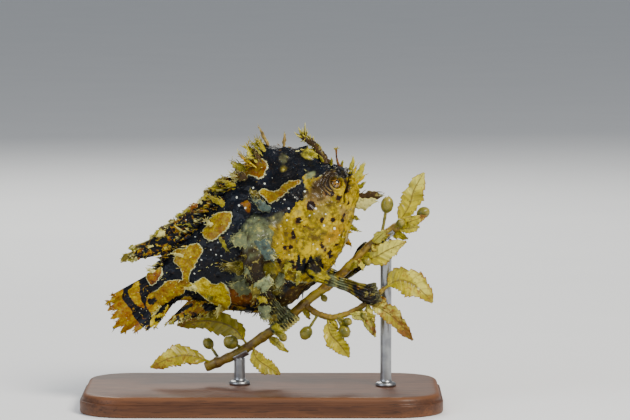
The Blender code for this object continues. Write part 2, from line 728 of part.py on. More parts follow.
def make_pectoral_fins(finish):
    """Arm-like pectoral fins that reach down beside the belly and close on the stem."""
    radius = STEM_RADII[0] + GAP + 0.6 * MM
    centre, travel, near, down = route_frame(STEM_ROUTE, GRIP_ON_STEM)
    for name, side in (("pectoral_fin_right", 1), ("pectoral_fin_left", -1)):
        root, _ = skin(*(MM * np.array(SHOULDER)), side)
        arm = MM * np.array(
            (
                (28.6, -4.6, 13.4 * side),
                (30.9, -8.4, 14.2 * side),
                (32.0, -13.2, 13.2 * side),
                (32.6, -18.2, 10.6 * side),
                (32.4, -22.6, 7.0 * side),
            )
        )
        turns = np.radians((-48.0, -8.0, 30.0, 60.0))
        curl = [centre + radius * (math.cos(a) * near * side + math.sin(a) * down) for a in turns]
        path = np.array([to_world(root), *to_world(arm), *curl])
        across = np.vstack((np.tile(BACKWARDS + 0.5 * UPWARDS, (3, 1)), np.tile(-travel, (7, 1))))
        widths = MM * np.array((3.3, 3.0, 2.5, 2.1, 2.2, 2.6, 3.0, 3.3, 3.5, 3.7))
        depths = MM * np.array((2.8, 2.3, 1.9, 1.5, 1.1, 0.75, 0.56, 0.48, 0.42, 0.3))
        flatness = (0.0, 0.0, 0.0, 0.1, 0.4, 0.8, 1.0, 1.0, 1.0, 1.0)
        rays = PECTORAL_RAYS
        limb(name, path, across, widths, depths, flatness, rays, 1.3 * MM, (0, 0, side), finish)


def make_pelvic_fins(finish):
    """Pelvic fins from under the throat: the near one rests on the twig, the far one on the stem."""
    near_end = ((18.6, -8.0, 31.75), (22.65, -7.2, 30.4), (26.2, -6.6, 28.6), (29.2, -6.4, 29.2))
    far_end = ((18.6, 6.6, 31.6), (22.0, 4.2, 33.4), (24.6, 1.8, 36.4), (27.4, 0.6, 39.4))
    for name, side, end in (("pelvic_fin_right", 1, near_end), ("pelvic_fin_left", -1, far_end)):
        way = unit((0.0, -0.8, 0.9 * side))
        root = seat(np.array((18.6, -13.0, 4.5 * side)) * MM, way, 0.0)
        first = to_world(root)
        second = to_world(root + 2.4 * MM * way)
        rough = np.array([first, second, *(np.array(end) * MM)])
        path = np.concatenate((rough[:1], sampled(rough, 9)[1:]))
        widths = MM * np.array((2.1, 1.7, 1.5, 1.5, 1.6, 1.9, 2.3, 2.6, 2.7))
        depths = MM * np.array((1.9, 1.5, 1.3, 1.1, 0.85, 0.65, 0.5, 0.45, 0.3))
        flatness = (0.0, 0.0, 0.1, 0.3, 0.7, 1.0, 1.0, 1.0, 1.0)
        limb(name, path, (0.1, -0.2, -1.0), widths, depths, flatness, PELVIC_RAYS, 1.2 * MM, way, finish)


def branch(name, route, radii, count, finish, sides=10):
    path = sampled(route, count)
    radius = np.linspace(*radii, count)
    points, faces = loft(tube_rings(path, radius, radius, (0, 1, 0), sides))
    return make_object(name, points, faces, finish)


def leaf(route, width, face, finish):
    """A weed leaf on a curved mid line: stalk, toothed blade and a raised midrib."""
    rows = 8
    path = sampled(route, rows)
    travel, across, normal = frames_along(path, np.cross(face, route[-1] - route[0]))
    along = np.linspace(0, 1, rows)
    blade = np.clip((along - 0.14) / 0.86, 0, 1)
    shape = np.sin(math.pi * blade**0.8) ** 0.75
    tooth = 1 - 0.13 * (np.arange(rows) % 2)
    half_width = np.maximum(width / 2 * shape * tooth, 0.38 * MM)
    cross = np.linspace(-1, 1, 5)
    mid = path[:, None, :] + (half_width[:, None] * cross)[..., None] * across[:, None, :]
    cup = 0.12 * width * np.abs(cross)[None, :] * shape[:, None]
    mid = mid + cup[..., None] * normal[:, None, :]
    half = (0.27 + 0.2 * (cross == 0)) * MM * np.ones((rows, 1))
    normals = np.broadcast_to(normal[:, None, :], mid.shape)
    points, faces = sheet(mid, half, normals)
    return make_object("leaf", points, faces, finish)


def air_bladder(root, centre, radius, stretch, finish):
    """An oval air bladder on a short stalk that starts inside the branch."""
    path = root + np.array((0.0, 0.5, 1.0))[:, None] * (centre - root)
    points, faces = loft(tube_rings(path, np.full(3, 0.4 * MM), np.full(3, 0.4 * MM), (0.3, 1, 0), 5))
    stalk = make_object("stalk", points, faces, finish)
    return [stalk, ball("bladder", centre, radius, finish, 9, 7, stretch)]


def make_perch(finish):
    """The cut length of weed: stem, twig, leaves and air bladders in one piece."""
    stem = branch("perch_weed", STEM_ROUTE, STEM_RADII, 24, finish, 9)
    pieces = [branch("twig", TWIG_ROUTE, TWIG_RADII, 12, finish, 7)]
    face = np.array((0.15, -1.0, 0.3))
    for route, share, points, width in LEAVES:
        root = smooth_rows(route, share * (len(route) - 1))
        pieces.append(leaf(np.array((root, *(MM * np.array(points)))), width * MM, face, finish))
    for route, share, centre, radius, stretch in BLADDERS:
        root = smooth_rows(route, share * (len(route) - 1))
        pieces += air_bladder(root, MM * np.array(centre), radius * MM, stretch, finish)
    combine(stem, pieces, "UNION")


def make_stand(base_finish, rod_finish):
    """Flat base with rounded corners, and two rods up to the underside of the stem."""
    size = BASE_SIZE
    bpy.ops.mesh.primitive_cube_add(size=1, location=(0, 0, 0))
    base = bpy.context.object
    base.name = "stand_base"
    base.data.name = "stand_base"
    base.data.transform(Matrix.Translation((0, 0, size[2] / 2)) @ Matrix.Diagonal((*size, 1.0)))
    work = bmesh.new()
    work.from_mesh(base.data)
    upright = [e for e in work.edges if abs(e.verts[0].co.z - e.verts[1].co.z) > size[2] / 2]
    bmesh.ops.bevel(
        work, geom=upright, offset=BASE_CORNER, segments=6, profile=0.5, affect="EDGES"
    )
    rim = [e for e in work.edges if min(v.co.z for v in e.verts) > size[2] - 1e-6]
    bmesh.ops.bevel(work, geom=rim, offset=BASE_BEVEL, segments=2, profile=0.5, affect="EDGES")
    work.to_mesh(base.data)
    work.free()
    base.data.materials.append(base_finish)
    for name, share in zip(("stand_rod_low", "stand_rod_high"), ROD_ALONG_STEM):
        point, travel, _, _ = route_frame(STEM_ROUTE, share)
        stem_radius = np.interp(share, (0, 1), STEM_RADII)
        # The rod's flat top clears the sloping stem by the gap at its highest side.
        slope = abs(travel[2]) / math.hypot(travel[0], travel[1])
        drop = stem_radius * math.hypot(1, slope) + ROD_RADIUS * slope + GAP + 0.1 * MM
        heights = np.linspace(size[2] + GAP, point[2] - drop, 3)
        path = np.array([(point[0], point[1], z) for z in heights])
        points, faces = loft(tube_rings(path, ROD_RADIUS, ROD_RADIUS, (1, 0, 0), 16))
        make_object(name, points, faces, rod_finish)


def main():
    for old in list(bpy.data.objects):
        bpy.data.objects.remove(old)
    flank = material("flank", (0.05, 0.045, 0.06), 0.35)
    face = material("face", (0.62, 0.42, 0.10), 0.4)
    fin = material("fin", (0.66, 0.38, 0.06), 0.42)
    eye = material("eye", (0.55, 0.36, 0.10), 0.08)
    weed = material("weed", (0.46, 0.36, 0.07), 0.5)
    wood = material("stand_wood", (0.10, 0.06, 0.035), 0.45)
    steel = material("stand_steel", (0.62, 0.62, 0.62), 0.3, 1.0)
    make_head(face)
    make_eyes(eye)
    make_torso(flank)
    make_tail_root(flank)
    make_dorsal_fin(fin)
    make_anal_fin(fin)
    make_tail_fin(fin)
    make_dorsal_spines(flank)
    make_pectoral_fins(fin)
    make_pelvic_fins(fin)
    make_perch(weed)
    make_stand(wood, steel)


main()
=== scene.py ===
"""A sargassum fish, life size, holding a cut length of floating weed on a display stand.

The file is laid out as a Blender add-on: sizes and colours are properties, each piece has an
operator, and the panel lists them. Run as a script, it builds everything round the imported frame.

+Z is up, the head points to +X and the fish's right side to -Y. Shapes are worked out in
millimetres, and make_piece turns them into metres. Those on the body are in the body frame:
distance behind the snout, height above the body line and distance to the fish's right. Marks are
read in the side view, in quarter millimetres across from X = -65.5 and down from Z = 104.5.
"""

import functools
import math

import bpy
import numpy as np
from mathutils import Matrix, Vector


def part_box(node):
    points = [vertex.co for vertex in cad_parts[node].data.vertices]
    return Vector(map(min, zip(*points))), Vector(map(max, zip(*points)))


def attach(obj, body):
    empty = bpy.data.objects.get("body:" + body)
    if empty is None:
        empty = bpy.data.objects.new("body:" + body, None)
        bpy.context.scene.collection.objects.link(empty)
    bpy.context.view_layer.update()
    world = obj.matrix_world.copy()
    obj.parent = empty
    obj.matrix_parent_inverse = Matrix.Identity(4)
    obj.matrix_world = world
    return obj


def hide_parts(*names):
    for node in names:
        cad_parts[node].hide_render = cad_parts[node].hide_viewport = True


bl_info = {
    "name": "Sargassum Fish on Weed",
    "version": (1, 0, 0),
    "blender": (4, 5, 0),
    "location": "3D View > Sidebar > Fish",
    "description": "Builds a sargassum fish on a length of floating weed, with its stand",
    "category": "Add Mesh",
}

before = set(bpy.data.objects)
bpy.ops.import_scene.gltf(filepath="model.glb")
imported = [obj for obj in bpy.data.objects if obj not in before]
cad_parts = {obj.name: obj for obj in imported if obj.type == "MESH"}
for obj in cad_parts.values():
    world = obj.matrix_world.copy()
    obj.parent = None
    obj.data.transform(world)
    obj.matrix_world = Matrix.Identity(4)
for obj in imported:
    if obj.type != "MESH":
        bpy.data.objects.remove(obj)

MM = 0.001

# The body, as in the solids

SNOUT = np.array((20.25, 0.0, 59.0))
BODY_PITCH = math.radians(31.0)
BACKWARDS = np.array((-math.cos(BODY_PITCH), 0.0, -math.sin(BODY_PITCH)))
UPWARDS = np.array((-math.sin(BODY_PITCH), 0.0, math.cos(BODY_PITCH)))
RIGHTWARDS = np.array((0.0, -1.0, 0.0))
BODY_AXES = np.array((BACKWARDS, UPWARDS, RIGHTWARDS))

# Behind the snout, back, belly, half width. The last two rows run on into the tail fin.
BODY_STATIONS = np.array((
    (-1.4, -3.2, -5.1, 1.3), (-0.9, -0.6, -6.3, 3.4), (0.3, 1.5, -7.6, 5.2),
    (2.2, 3.4, -9.4, 6.8), (5.2, 6.2, -12.9, 8.3), (9.2, 9.2, -16.2, 9.7),
    (14.0, 11.6, -19.0, 10.7), (20.0, 12.5, -20.6, 11.2), (26.5, 11.2, -21.6, 10.9),
    (32.5, 8.8, -21.2, 9.8), (38.5, 6.8, -18.6, 7.8), (44.0, 5.2, -13.8, 5.3),
    (48.5, 4.0, -9.4, 3.4), (52.5, 3.0, -6.8, 2.3), (55.0, 2.4, -6.3, 1.3),
    (57.0, 1.8, -5.8, 0.4),
))  # fmt: skip
SIDE_FULLNESS = 0.86
BELLY_SWELL = 0.12
SKIN_START, SKIN_END = -1.4, 56.6

EYE_PLACE = np.array((3.0, -1.45))
EYE_RADIUS = 1.85
EYE_SINK = 1.0
MOUTH_FRONT = np.array((-0.9, -1.4))
MOUTH_CORNER = np.array((3.9, -6.6))
NOSTRIL_PLACE = np.array((0.9, 1.0))
SHOULDER = np.array((25.8, -2.6))
SHOULDER_ROUND = 4.6
HUMP_CENTRE = np.array((13.2, 0.0))
HUMP_REACH = np.array((7.6, 5.2))
KNOB_PLACE, KNOB_REACH = 5.6, 1.9

# Edges of the fins in the body frame, in mm, and the right arm from shoulder to wrist.
DORSAL_TIPS = (
    (26.6, 13.9), (31.0, 13.1), (37.0, 12.0), (43.5, 11.4), (52.0, 10.9), (58.7, 9.9), (58.0, 8.3),
)  # fmt: skip
ANAL_TIPS = ((46.0, -14.9), (50.0, -13.4), (54.5, -11.9), (58.4, -10.2))
TAIL_TIPS = (
    (66.0, 3.0), (69.2, 1.4), (70.4, -1.4), (70.0, -4.4), (68.0, -7.2), (64.6, -9.2), (60.8, -9.9),
)  # fmt: skip
ARM_ROUTE = np.array((
    (28.6, -4.6, 13.0), (30.9, -8.4, 14.2), (32.0, -13.2, 13.2), (32.6, -18.2, 10.6),
    (32.4, -22.6, 7.0),
))  # fmt: skip

STEM_ROUTE = np.array((
    (-14.25, 1.0, 9.3), (-9.25, 0.6, 11.4), (-4.25, 0.2, 14.0), (0.0, -0.2, 17.0),
    (4.5, -0.6, 20.25), (8.25, -0.9, 23.5), (12.5, -1.2, 27.2), (17.5, -1.6, 31.0),
    (22.0, -2.0, 35.2), (26.5, -2.3, 39.75), (31.5, -2.5, 43.75), (37.5, -2.6, 46.75),
))  # fmt: skip
STEM_RADII = (1.25, 1.05)
TWIG_ROUTE = np.array((
    (10.6, -1.1, 25.5), (13.4, -2.8, 23.5), (17.2, -4.0, 22.5), (22.0, -4.7, 23.8),
    (26.5, -4.9, 26.5), (30.75, -5.0, 30.0),
))  # fmt: skip
TWIG_RADII = (0.85, 0.6)
GRIP_ON_STEM = 0.385
ROD_ALONG_STEM = (0.155, 0.9)

# Leaves: branch, where along it, the mid line's further points, width.
LEAVES = (
    (STEM_ROUTE, 0.20, ((-7.5, 3.4, 19.0), (-14.0, 4.8, 20.6), (-21.5, 5.4, 19.4)), 6.2),
    (TWIG_ROUTE, 0.98, ((34.0, -6.0, 31.8), (38.0, -6.2, 30.6), (42.5, -5.8, 26.4)), 7.4),
    (STEM_ROUTE, 0.76, ((27.6, -4.4, 37.4), (31.5, -5.4, 39.6), (36.0, -5.2, 41.6)), 5.0),
    (STEM_ROUTE, 0.93, ((36.5, -1.4, 49.6), (38.0, -0.6, 54.0), (40.5, -0.6, 58.4)), 5.6),
    (STEM_ROUTE, 0.22, ((-1.4, -2.4, 12.0), (1.4, -3.8, 10.0), (4.6, -4.4, 8.2)), 4.2),
    (STEM_ROUTE, 0.04, ((-18.0, -0.4, 12.4), (-22.6, -1.6, 12.0), (-28.0, -2.0, 9.6)), 5.4),
    (TWIG_ROUTE, 0.36, ((17.0, -5.0, 18.6), (19.2, -5.4, 16.0), (21.8, -5.4, 12.6)), 4.8),
    (TWIG_ROUTE, 0.78, ((30.0, -6.0, 24.6), (34.0, -6.6, 21.6), (37.6, -6.2, 17.0)), 4.4),
)
WITHERED_LEAF = 7
# Air bladders: branch, where along it, centre, radius, how much longer than wide.
BLADDERS = (
    (STEM_ROUTE, 0.18, (-7.8, -2.4, 16.0), 1.8, 1.12),
    (STEM_ROUTE, 0.88, (31.2, -3.6, 50.6), 1.7, 1.3),
    (STEM_ROUTE, 0.97, (40.2, -3.4, 48.6), 1.5, 1.15),
    (TWIG_ROUTE, 0.46, (20.6, -5.6, 19.2), 1.5, 1.15),
    (TWIG_ROUTE, 0.24, (11.0, -4.4, 18.6), 1.6, 1.15),
    (STEM_ROUTE, 0.07, (-13.6, 3.4, 15.0), 1.4, 1.15),
)

SPRIG_COUNT = 26

BASE_CORNER = 12.0
ROD_RADIUS = 1.4
# Each rod's cradle: degrees up each side of the stem, half its length and half its wall.
CRADLE_RISE, CRADLE_HALF_LENGTH, CRADLE_HALF_WALL = 82, 1.9, 0.19
# The base's edge as (inset, height), and the rod's foot with its collar as (radius, height).
BASE_PROFILE = np.array((
    (1.4, 0.0), (0.6, 0.0), (0.25, 0.08), (0.06, 0.3), (0.0, 0.6), (0.0, 1.6), (0.0, 2.8),
    (0.05, 3.0), (0.22, 3.12), (0.5, 3.16), (0.62, 3.26), (0.66, 3.6), (0.72, 4.0),
    (0.9, 4.4), (1.2, 4.72), (1.6, 4.92), (2.1, 5.0), (3.2, 5.0), (8.0, 5.0),
))  # fmt: skip
ROD_FOOT = np.array((
    (0.2, 4.85), (2.3, 4.85), (2.55, 5.1), (2.6, 5.4), (2.5, 5.8),
    (2.2, 6.0), (1.75, 6.05), (1.55, 6.2), (1.42, 6.5), (1.4, 7.0),
))  # fmt: skip

# The side view: its origin, in its own steps, and a step in mm.
VIEW_ORIGIN = (262, 418)
VIEW_STEP = 0.25

# Marks on the skin, in the side view. A patch's row: its tone at the top and at the foot
# (0 is deep orange, 1 is bright yellow) and the width of its pale rim in mm, then its outline.
PATCHES = (
    # back oval
    ((0.6, 0.44, 0.3), (204, 241), (206, 247), (211, 250), (216, 249), (221, 245), (226, 240),
     (230, 233), (232, 226), (230, 223), (225, 223), (219, 224), (214, 228), (210, 231),
     (208, 237)),
    # flank boomerang
    ((0.56, 0.48, 0.2), (174, 264), (180, 261), (186, 260), (190, 257), (193, 256), (197, 254),
     (201, 256), (202, 261), (199, 268), (196, 275), (192, 280), (190, 286), (189, 292),
     (186, 297), (183, 299), (183, 290), (182, 283), (180, 278), (176, 275), (174, 272),
     (176, 268)),
    # tail root spot
    ((0.36, 0.12, 0.22), (145, 285), (150, 281), (156, 284), (160, 280), (162, 283), (160, 289),
     (156, 295), (151, 297), (147, 292)),
    # tail band
    ((0.66, 0.34, 0.08), (128, 302), (132, 297), (137, 293), (139, 295), (139, 303), (140, 309),
     (142, 314), (144, 320), (138, 319), (133, 314), (129, 308)),
    # rear belly
    ((0.42, 0.5, 0.14), (162, 298), (168, 293), (175, 292), (189, 292), (187, 299), (183, 305),
     (176, 311), (165, 320), (152, 326), (146, 318), (147, 310), (152, 304)),
    # belly band
    ((0.36, 0.42, 0.08), (160, 328), (170, 318), (181, 310), (192, 309), (204, 312), (220, 318),
     (221, 326), (205, 328), (190, 324), (172, 330)),
    # belly tip
    ((0.8, 0.95, 0.1), (153, 327), (160, 325), (166, 327), (166, 333), (158, 340), (150, 339),
     (151, 332)),
    # side yellow
    ((0.78, 0.6, 0.2), (187, 297), (195, 293), (200, 290), (205, 288), (210, 292), (216, 294),
     (223, 292), (228, 296), (230, 303), (231, 312), (228, 320), (222, 325), (216, 322),
     (214, 316), (208, 310), (203, 306), (197, 301), (190, 300)),
    # hump orange
    ((0.5, 0.28, 0.3), (237, 190), (240, 193), (244, 189), (249, 186), (254, 187), (259, 187),
     (264, 186), (267, 180), (267, 174), (262, 170), (256, 168), (250, 171), (244, 180)),
    # neck stripe
    ((0.56, 0.46, 0.22), (260, 203), (262, 200), (268, 199), (273, 201), (280, 199), (285, 193),
     (291, 191), (298, 190), (300, 191), (296, 194), (290, 198), (284, 202), (280, 206),
     (275, 210), (270, 211), (265, 206)),
    # arm pit spot
    ((0.4, 0.12, 0.0), (241, 213), (246, 210), (250, 212), (252, 217), (249, 222), (246, 218)),
    # tail end
    ((0.42, 0.36, 0.0), (121, 299), (122, 310), (128, 320), (136, 332), (143, 343), (135, 352),
     (112, 340), (94, 316), (104, 298)),
)  # fmt: skip
DARK_STREAKS = (
    ((155, 324), (163, 317), (170, 313), (181, 307), (183, 309), (172, 318), (162, 324), (156, 328)),
    ((155, 331), (164, 327), (178, 322), (190, 316), (191, 319), (179, 326), (166, 331), (157, 334)),
    ((187, 303), (193, 301), (200, 305), (204, 310), (199, 313), (192, 311)),
    ((203, 315), (210, 314), (218, 318), (217, 323), (208, 323), (203, 320)),
    ((147, 311), (154, 311), (154, 317), (148, 317)),
    ((295, 278), (298, 262), (300, 264), (301, 271), (303, 278)),
    ((301, 278), (303, 265), (305, 266), (306, 272), (308, 278)),
    ((306, 279), (309, 263), (311, 264), (313, 272), (313, 279)),
    ((312, 279), (315, 267), (317, 268), (318, 273), (318, 279)),
    ((317, 280), (320, 268), (322, 269), (324, 275), (323, 280)),
)
CHEEK_OUTLINE = (
    (303, 189), (306, 196), (308, 203), (298, 212), (291, 220), (283, 224), (272, 232),
    (266, 245), (262, 262), (268, 276), (284, 286), (315, 292), (345, 282), (370, 250),
    (372, 200), (364, 178), (354, 182), (350, 188), (342, 190), (333, 188), (324, 187), (313, 188),
    (306, 184),
)  # fmt: skip
SPOTS = (
    (311, 214, 5.1), (299, 228, 2.7), (322, 229, 2.5), (333, 229, 2.7), (343, 230, 2.2),
    (345, 225, 1.9), (349, 213, 2.1), (294, 244, 2.1), (293, 241, 1.8), (291, 255, 2.6),
    (285, 256, 1.9), (323, 256, 2.4), (325, 259, 2.2), (321, 253, 1.7), (336, 254, 2.2),
    (330, 262, 2.8), (330, 266, 2.5), (279, 268, 2.8), (292, 271, 3.3), (294, 275, 2.6),
    (338, 207, 2.4), (332, 203, 2.1), (326, 203, 1.9), (346, 201, 1.9), (304, 234, 1.1),
)  # fmt: skip
DOTS = (
    (310, 224, 0.8), (326, 223, 0.8), (324, 234, 1.1), (334, 237, 1.4), (339, 244, 1.0),
    (317, 257, 1.1), (274, 258, 1.5), (274, 267, 1.2), (281, 234, 0.9), (316, 217, 1.1),
    (293, 236, 0.8), (254, 198, 1.1), (237, 207, 1.2), (285, 208, 0.9), (295, 206, 0.8),
    (289, 217, 1.1), (305, 200, 1.1), (246, 217, 1.2), (240, 215, 1.1), (214, 217, 0.8),
    (265, 193, 1.1), (268, 178, 1.0), (272, 187, 0.7), (228, 243, 0.6), (199, 233, 0.7),
    (205, 234, 0.8), (196, 248, 0.8), (219, 252, 0.7), (217, 264, 0.9), (222, 265, 0.8),
    (212, 259, 0.7), (228, 259, 0.8), (202, 270, 0.9), (195, 284, 0.9), (182, 250, 0.7),
    (207, 265, 0.5), (232, 262, 0.7), (209, 277, 0.6), (186, 232, 0.7), (171, 247, 0.5),
    (278, 251, 0.8), (283, 251, 0.7), (313, 252, 0.8), (298, 245, 0.6), (303, 248, 0.5),
    (287, 228, 0.9), (314, 222, 0.8), (340, 215, 0.6), (329, 247, 0.6), (289, 262, 0.6),
)  # fmt: skip


def linear(tint):
    """Linear colour of a tuple of display values from 0 to 255; a property's is linear already."""
    if not isinstance(tint, tuple):
        return tuple(tint)
    shares = np.array(tint) / 255.0
    values = np.where(shares <= 0.04045, shares / 12.92, ((shares + 0.055) / 1.055) ** 2.4)
    return tuple(values.tolist())


GOLD_ORANGE = (140, 112, 0)
TINTS = {
    "amber": (158, 118, 0),
    "rose": (140, 116, 64),
    "bright": (184, 158, 0),
    "umber": (66, 48, 24),
    "lobe_grey": (96, 104, 74),
    "lobe_yellow": (146, 132, 14),
    "lobe_blue": (66, 82, 76),
    "pit": (20, 14, 8),
    "olive": (98, 88, 20),
    "olive_grey": (76, 78, 54),
    "rust": (112, 62, 6),
    "cheek_shade": (128, 104, 0),
    "silver": (114, 124, 88),
    "sage": (118, 106, 44),
    "straw": (170, 160, 42),
    "moss": (22, 28, 14),
    "bark": (38, 26, 10),
    "leaf": (130, 124, 26),
    "pale": (202, 196, 118),
}
# Soft washes of colour: side view place, reach along and across in quarter mm, tint, strength.
WASHES = (
    (320, 203, 20, 12, "rose", 0.7),
    (346, 184, 9, 5, "pit", 0.9),
    (346, 195, 4, 9, "umber", 0.8),
    (317, 196, 7, 8, "umber", 0.5),
    (322, 222, 12, 8, "sage", 0.5),
    (343, 258, 8, 8, "bright", 0.5),
    (349, 236, 6, 10, "bright", 0.5),
    (327, 190, 12, 6, "umber", 0.55),
    (334, 243, 16, 9, "amber", 0.6),
    (344, 222, 6, 12, "rose", 0.5),
    (310, 259, 11, 9, "bright", 0.9),
    (286, 243, 13, 16, "cheek_shade", 0.5),
    (278, 259, 9, 9, "bright", 0.6),
    (309, 273, 17, 6, "moss", 0.95),
    (320, 289, 18, 8, "pit", 0.9),
    (257, 241, 15, 18, "lobe_grey", 0.95),
    (253, 253, 8, 5, "lobe_yellow", 0.9),
    # Painted shadow of the arm on the flank behind its root.
    (250, 264, 9, 5, "pit", 0.7),
    (265, 243, 5, 12, "lobe_blue", 0.8),
    (277, 227, 10, 6, "olive_grey", 0.75),
    # Painted shadow of the arm, a little lower.
    (250, 270, 13, 9, "pit", 0.85),
    (236, 274, 14, 4, "olive", 0.7),
    (268, 274, 12, 12, "leaf", 0.75),
    (244, 304, 20, 14, "rust", 0.9),
    (292, 306, 18, 12, "umber", 0.9),
    (318, 300, 16, 8, "pit", 0.9),
    (327, 187, 12, 5, "umber", 0.8),
    (272, 296, 18, 12, "olive", 0.7),
    (240, 290, 9, 8, "lobe_grey", 0.6),
    (283, 169, 5, 6, "olive_grey", 0.75),
    (284, 179, 5, 4, "olive", 0.55),
    (230, 196, 10, 5, "rust", 0.5),
    (311, 168, 8, 8, "straw", 0.8),
    (310, 185, 7, 4, "silver", 0.7),
)

# Shade on the skin: side view place, reach along and across in quarter mm, strength.
SHADES = (
    (316, 199, 15, 11, 0.9),
    (336, 188, 14, 8, 0.8),
    (348, 196, 6, 12, 0.6),
    (322, 214, 18, 9, 0.2),
    (254, 180, 17, 11, 0.75),
    (282, 199, 22, 11, 0.75),
    (214, 238, 18, 16, 0.3),
    (250, 258, 16, 8, 0.45),
    (262, 282, 22, 12, 0.6),
    (240, 316, 20, 7, 0.4),
    (172, 320, 20, 7, 0.3),
    (283, 262, 6, 14, 0.3),
    (333, 268, 7, 12, 0.35),
)

# Flaps of skin on each flank, in the side view: root, tip, width in mm, lift off the skin, tint.
FLANK_FLAPS = (
    ((260, 207), (249, 199), 1.5, 0.25, "olive"),
    ((270, 219), (252, 207), 1.9, 0.3, "lobe_blue"),
    ((221, 247), (229, 258), 1.0, 0.3, "leaf"),
    ((213, 236), (206, 229), 0.9, 0.4, "pale"),
    ((184, 268), (172, 263), 0.8, 0.4, "pale"),
    ((198, 299), (186, 296), 1.2, 0.4, "pale"),
    ((214, 307), (207, 309), 1.2, 0.5, "leaf"),
    ((221, 316), (216, 326), 1.2, 0.5, "pale"),
    ((161, 332), (149, 340), 1.4, 0.4, "pale"),
    ((245, 184), (230, 171), 2.0, 0.5, "leaf"),
    ((223, 196), (204, 197), 1.9, 0.5, "lobe_yellow"),
    ((224, 215), (209, 205), 1.4, 0.4, "lobe_yellow"),
    ((200, 216), (190, 210), 1.2, 0.4, "olive"),
    ((214, 204), (200, 203), 1.3, 0.4, "umber"),
    ((190, 228), (178, 225), 1.2, 0.4, "leaf"),
    ((250, 299), (231, 287), 3.4, 0.35, "lobe_grey"),
    ((250, 279), (224, 268), 2.4, 0.35, "olive"),
    ((255, 268), (236, 273), 1.8, 0.3, "lobe_yellow"),
    ((156, 284), (146, 281), 0.8, 0.4, "pale"),
    ((262, 166), (247, 152), 1.5, 0.6, "leaf"),
    ((258, 172), (241, 158), 1.7, 0.6, "straw"),
    ((253, 176), (238, 167), 1.6, 0.5, "amber"),
    ((266, 163), (255, 150), 1.2, 0.5, "lobe_yellow"),
    ((255, 168), (245, 155), 1.2, 0.6, "bright"),
    ((250, 176), (236, 163), 1.1, 0.6, "pale"),
    ((262, 172), (252, 160), 1.0, 0.5, "umber"),
    ((256, 178), (246, 171), 1.2, 0.5, "bright"),
    ((247, 190), (235, 180), 1.3, 0.5, "umber"),
    ((240, 192), (229, 183), 1.1, 0.5, "pale"),
    ((236, 199), (222, 189), 1.3, 0.5, "lobe_yellow"),
    ((240, 245), (230, 251), 1.3, 0.3, "lobe_blue"),
    ((176, 330), (168, 339), 1.2, 0.4, "bright"),
    ((205, 325), (200, 334), 1.3, 0.4, "bright"),
    ((290, 268), (284, 280), 1.2, 0.4, "leaf"),
    ((300, 280), (294, 292), 1.4, 0.4, "leaf"),
    ((282, 283), (276, 296), 1.8, 0.4, "lobe_grey"),
)
# Flaps of chin, throat, brow and nape: behind, height, aside, way, length and width in mm, tint.
CHIN_FLAPS = (
    (-0.7, -2.0, 0.8, (-0.72, 0.7, 0.1), 4.0, 1.0, "straw"),
    (-0.8, -2.8, -1.2, (-0.8, 0.5, -0.3), 2.6, 0.8, "bright"),
    (-0.6, -3.8, 1.0, (-0.92, 0.4, 0.1), 4.6, 1.5, "straw"),
    (-0.3, -4.6, -1.0, (-1.0, 0.1, -0.2), 2.4, 0.8, "bright"),
    (-0.2, -5.6, 1.2, (-1.0, 0.0, 0.2), 2.2, 1.0, "leaf"),
    (1.3, -7.2, 0.8, (-0.86, -0.5, 0.1), 6.6, 2.3, "umber"),
    (2.4, -8.6, 1.4, (-0.91, -0.43, 0.15), 5.6, 2.4, "pale"),
    (1.6, -8.4, -1.8, (-0.6, -0.75, -0.3), 3.2, 1.2, "bright"),
    (4.0, -11.0, 2.2, (-0.55, -0.8, 0.2), 2.0, 0.9, "leaf"),
    (5.4, -13.2, 2.4, (-0.4, -0.9, 0.3), 2.4, 1.1, "leaf"),
    (8.6, -15.6, -2.6, (-0.2, -0.95, -0.3), 2.6, 1.2, "amber"),
    (1.8, 2.6, 2.0, (-0.5, 0.8, 0.3), 1.8, 0.6, "leaf"),
    (0.4, 0.6, -1.4, (-0.8, 0.6, -0.3), 1.6, 0.6, "leaf"),
    (3.2, 4.2, 1.2, (-0.1, 1.0, 0.3), 1.8, 0.6, "leaf"),
    (4.6, 6.0, 1.5, (-0.1, 0.85, 0.55), 2.6, 1.7, "straw"),
    (5.4, 6.6, 0.4, (0.3, 0.9, 0.2), 2.8, 1.8, "bright"),
    (6.4, 7.2, -1.0, (0.6, 0.8, -0.5), 2.2, 1.4, "straw"),
    (6.8, 7.4, 1.4, (0.75, 0.6, 0.4), 2.0, 1.3, "pale"),
    (12.9, 11.0, 0.4, (-0.11, 1.0, 0.03), 4.4, 0.8, "rose"),
    (9.5, 9.4, -0.3, (-0.6, 0.8, -0.03), 3.0, 0.7, "rose"),
)
# Lobes on the arms: ring of the arm, how high on it, way back and down, length, width, tint.
ARM_LOBES = (
    (12, 0.9, 0.85, -0.6, 3.9, 4.0, "lobe_grey"),
    (14, 0.1, -0.55, 0.85, 6.4, 4.4, "lobe_blue"),
    (16, 0.0, 0.75, 0.75, 4.2, 2.6, "olive"),
    (26, 0.0, 0.7, 0.7, 4.0, 2.2, "olive"),
    (34, 0.0, 0.3, 0.95, 4.2, 2.6, "lobe_grey"),
    (44, 0.0, -0.3, 0.95, 3.6, 1.8, "leaf"),
    (9, -0.5, 0.95, 0.3, 3.4, 2.2, "olive"),
    (20, 0.9, 0.2, 0.95, 3.0, 1.9, "lobe_grey"),
    (25, 0.3, -0.75, 0.65, 4.6, 3.8, "silver"),
    (22, -0.4, 0.9, 0.5, 3.2, 1.9, "bark"),
    (30, 0.6, -0.3, 0.9, 2.6, 1.6, "lobe_yellow"),
    (39, -0.2, 0.8, 0.6, 2.8, 1.7, "olive"),
)
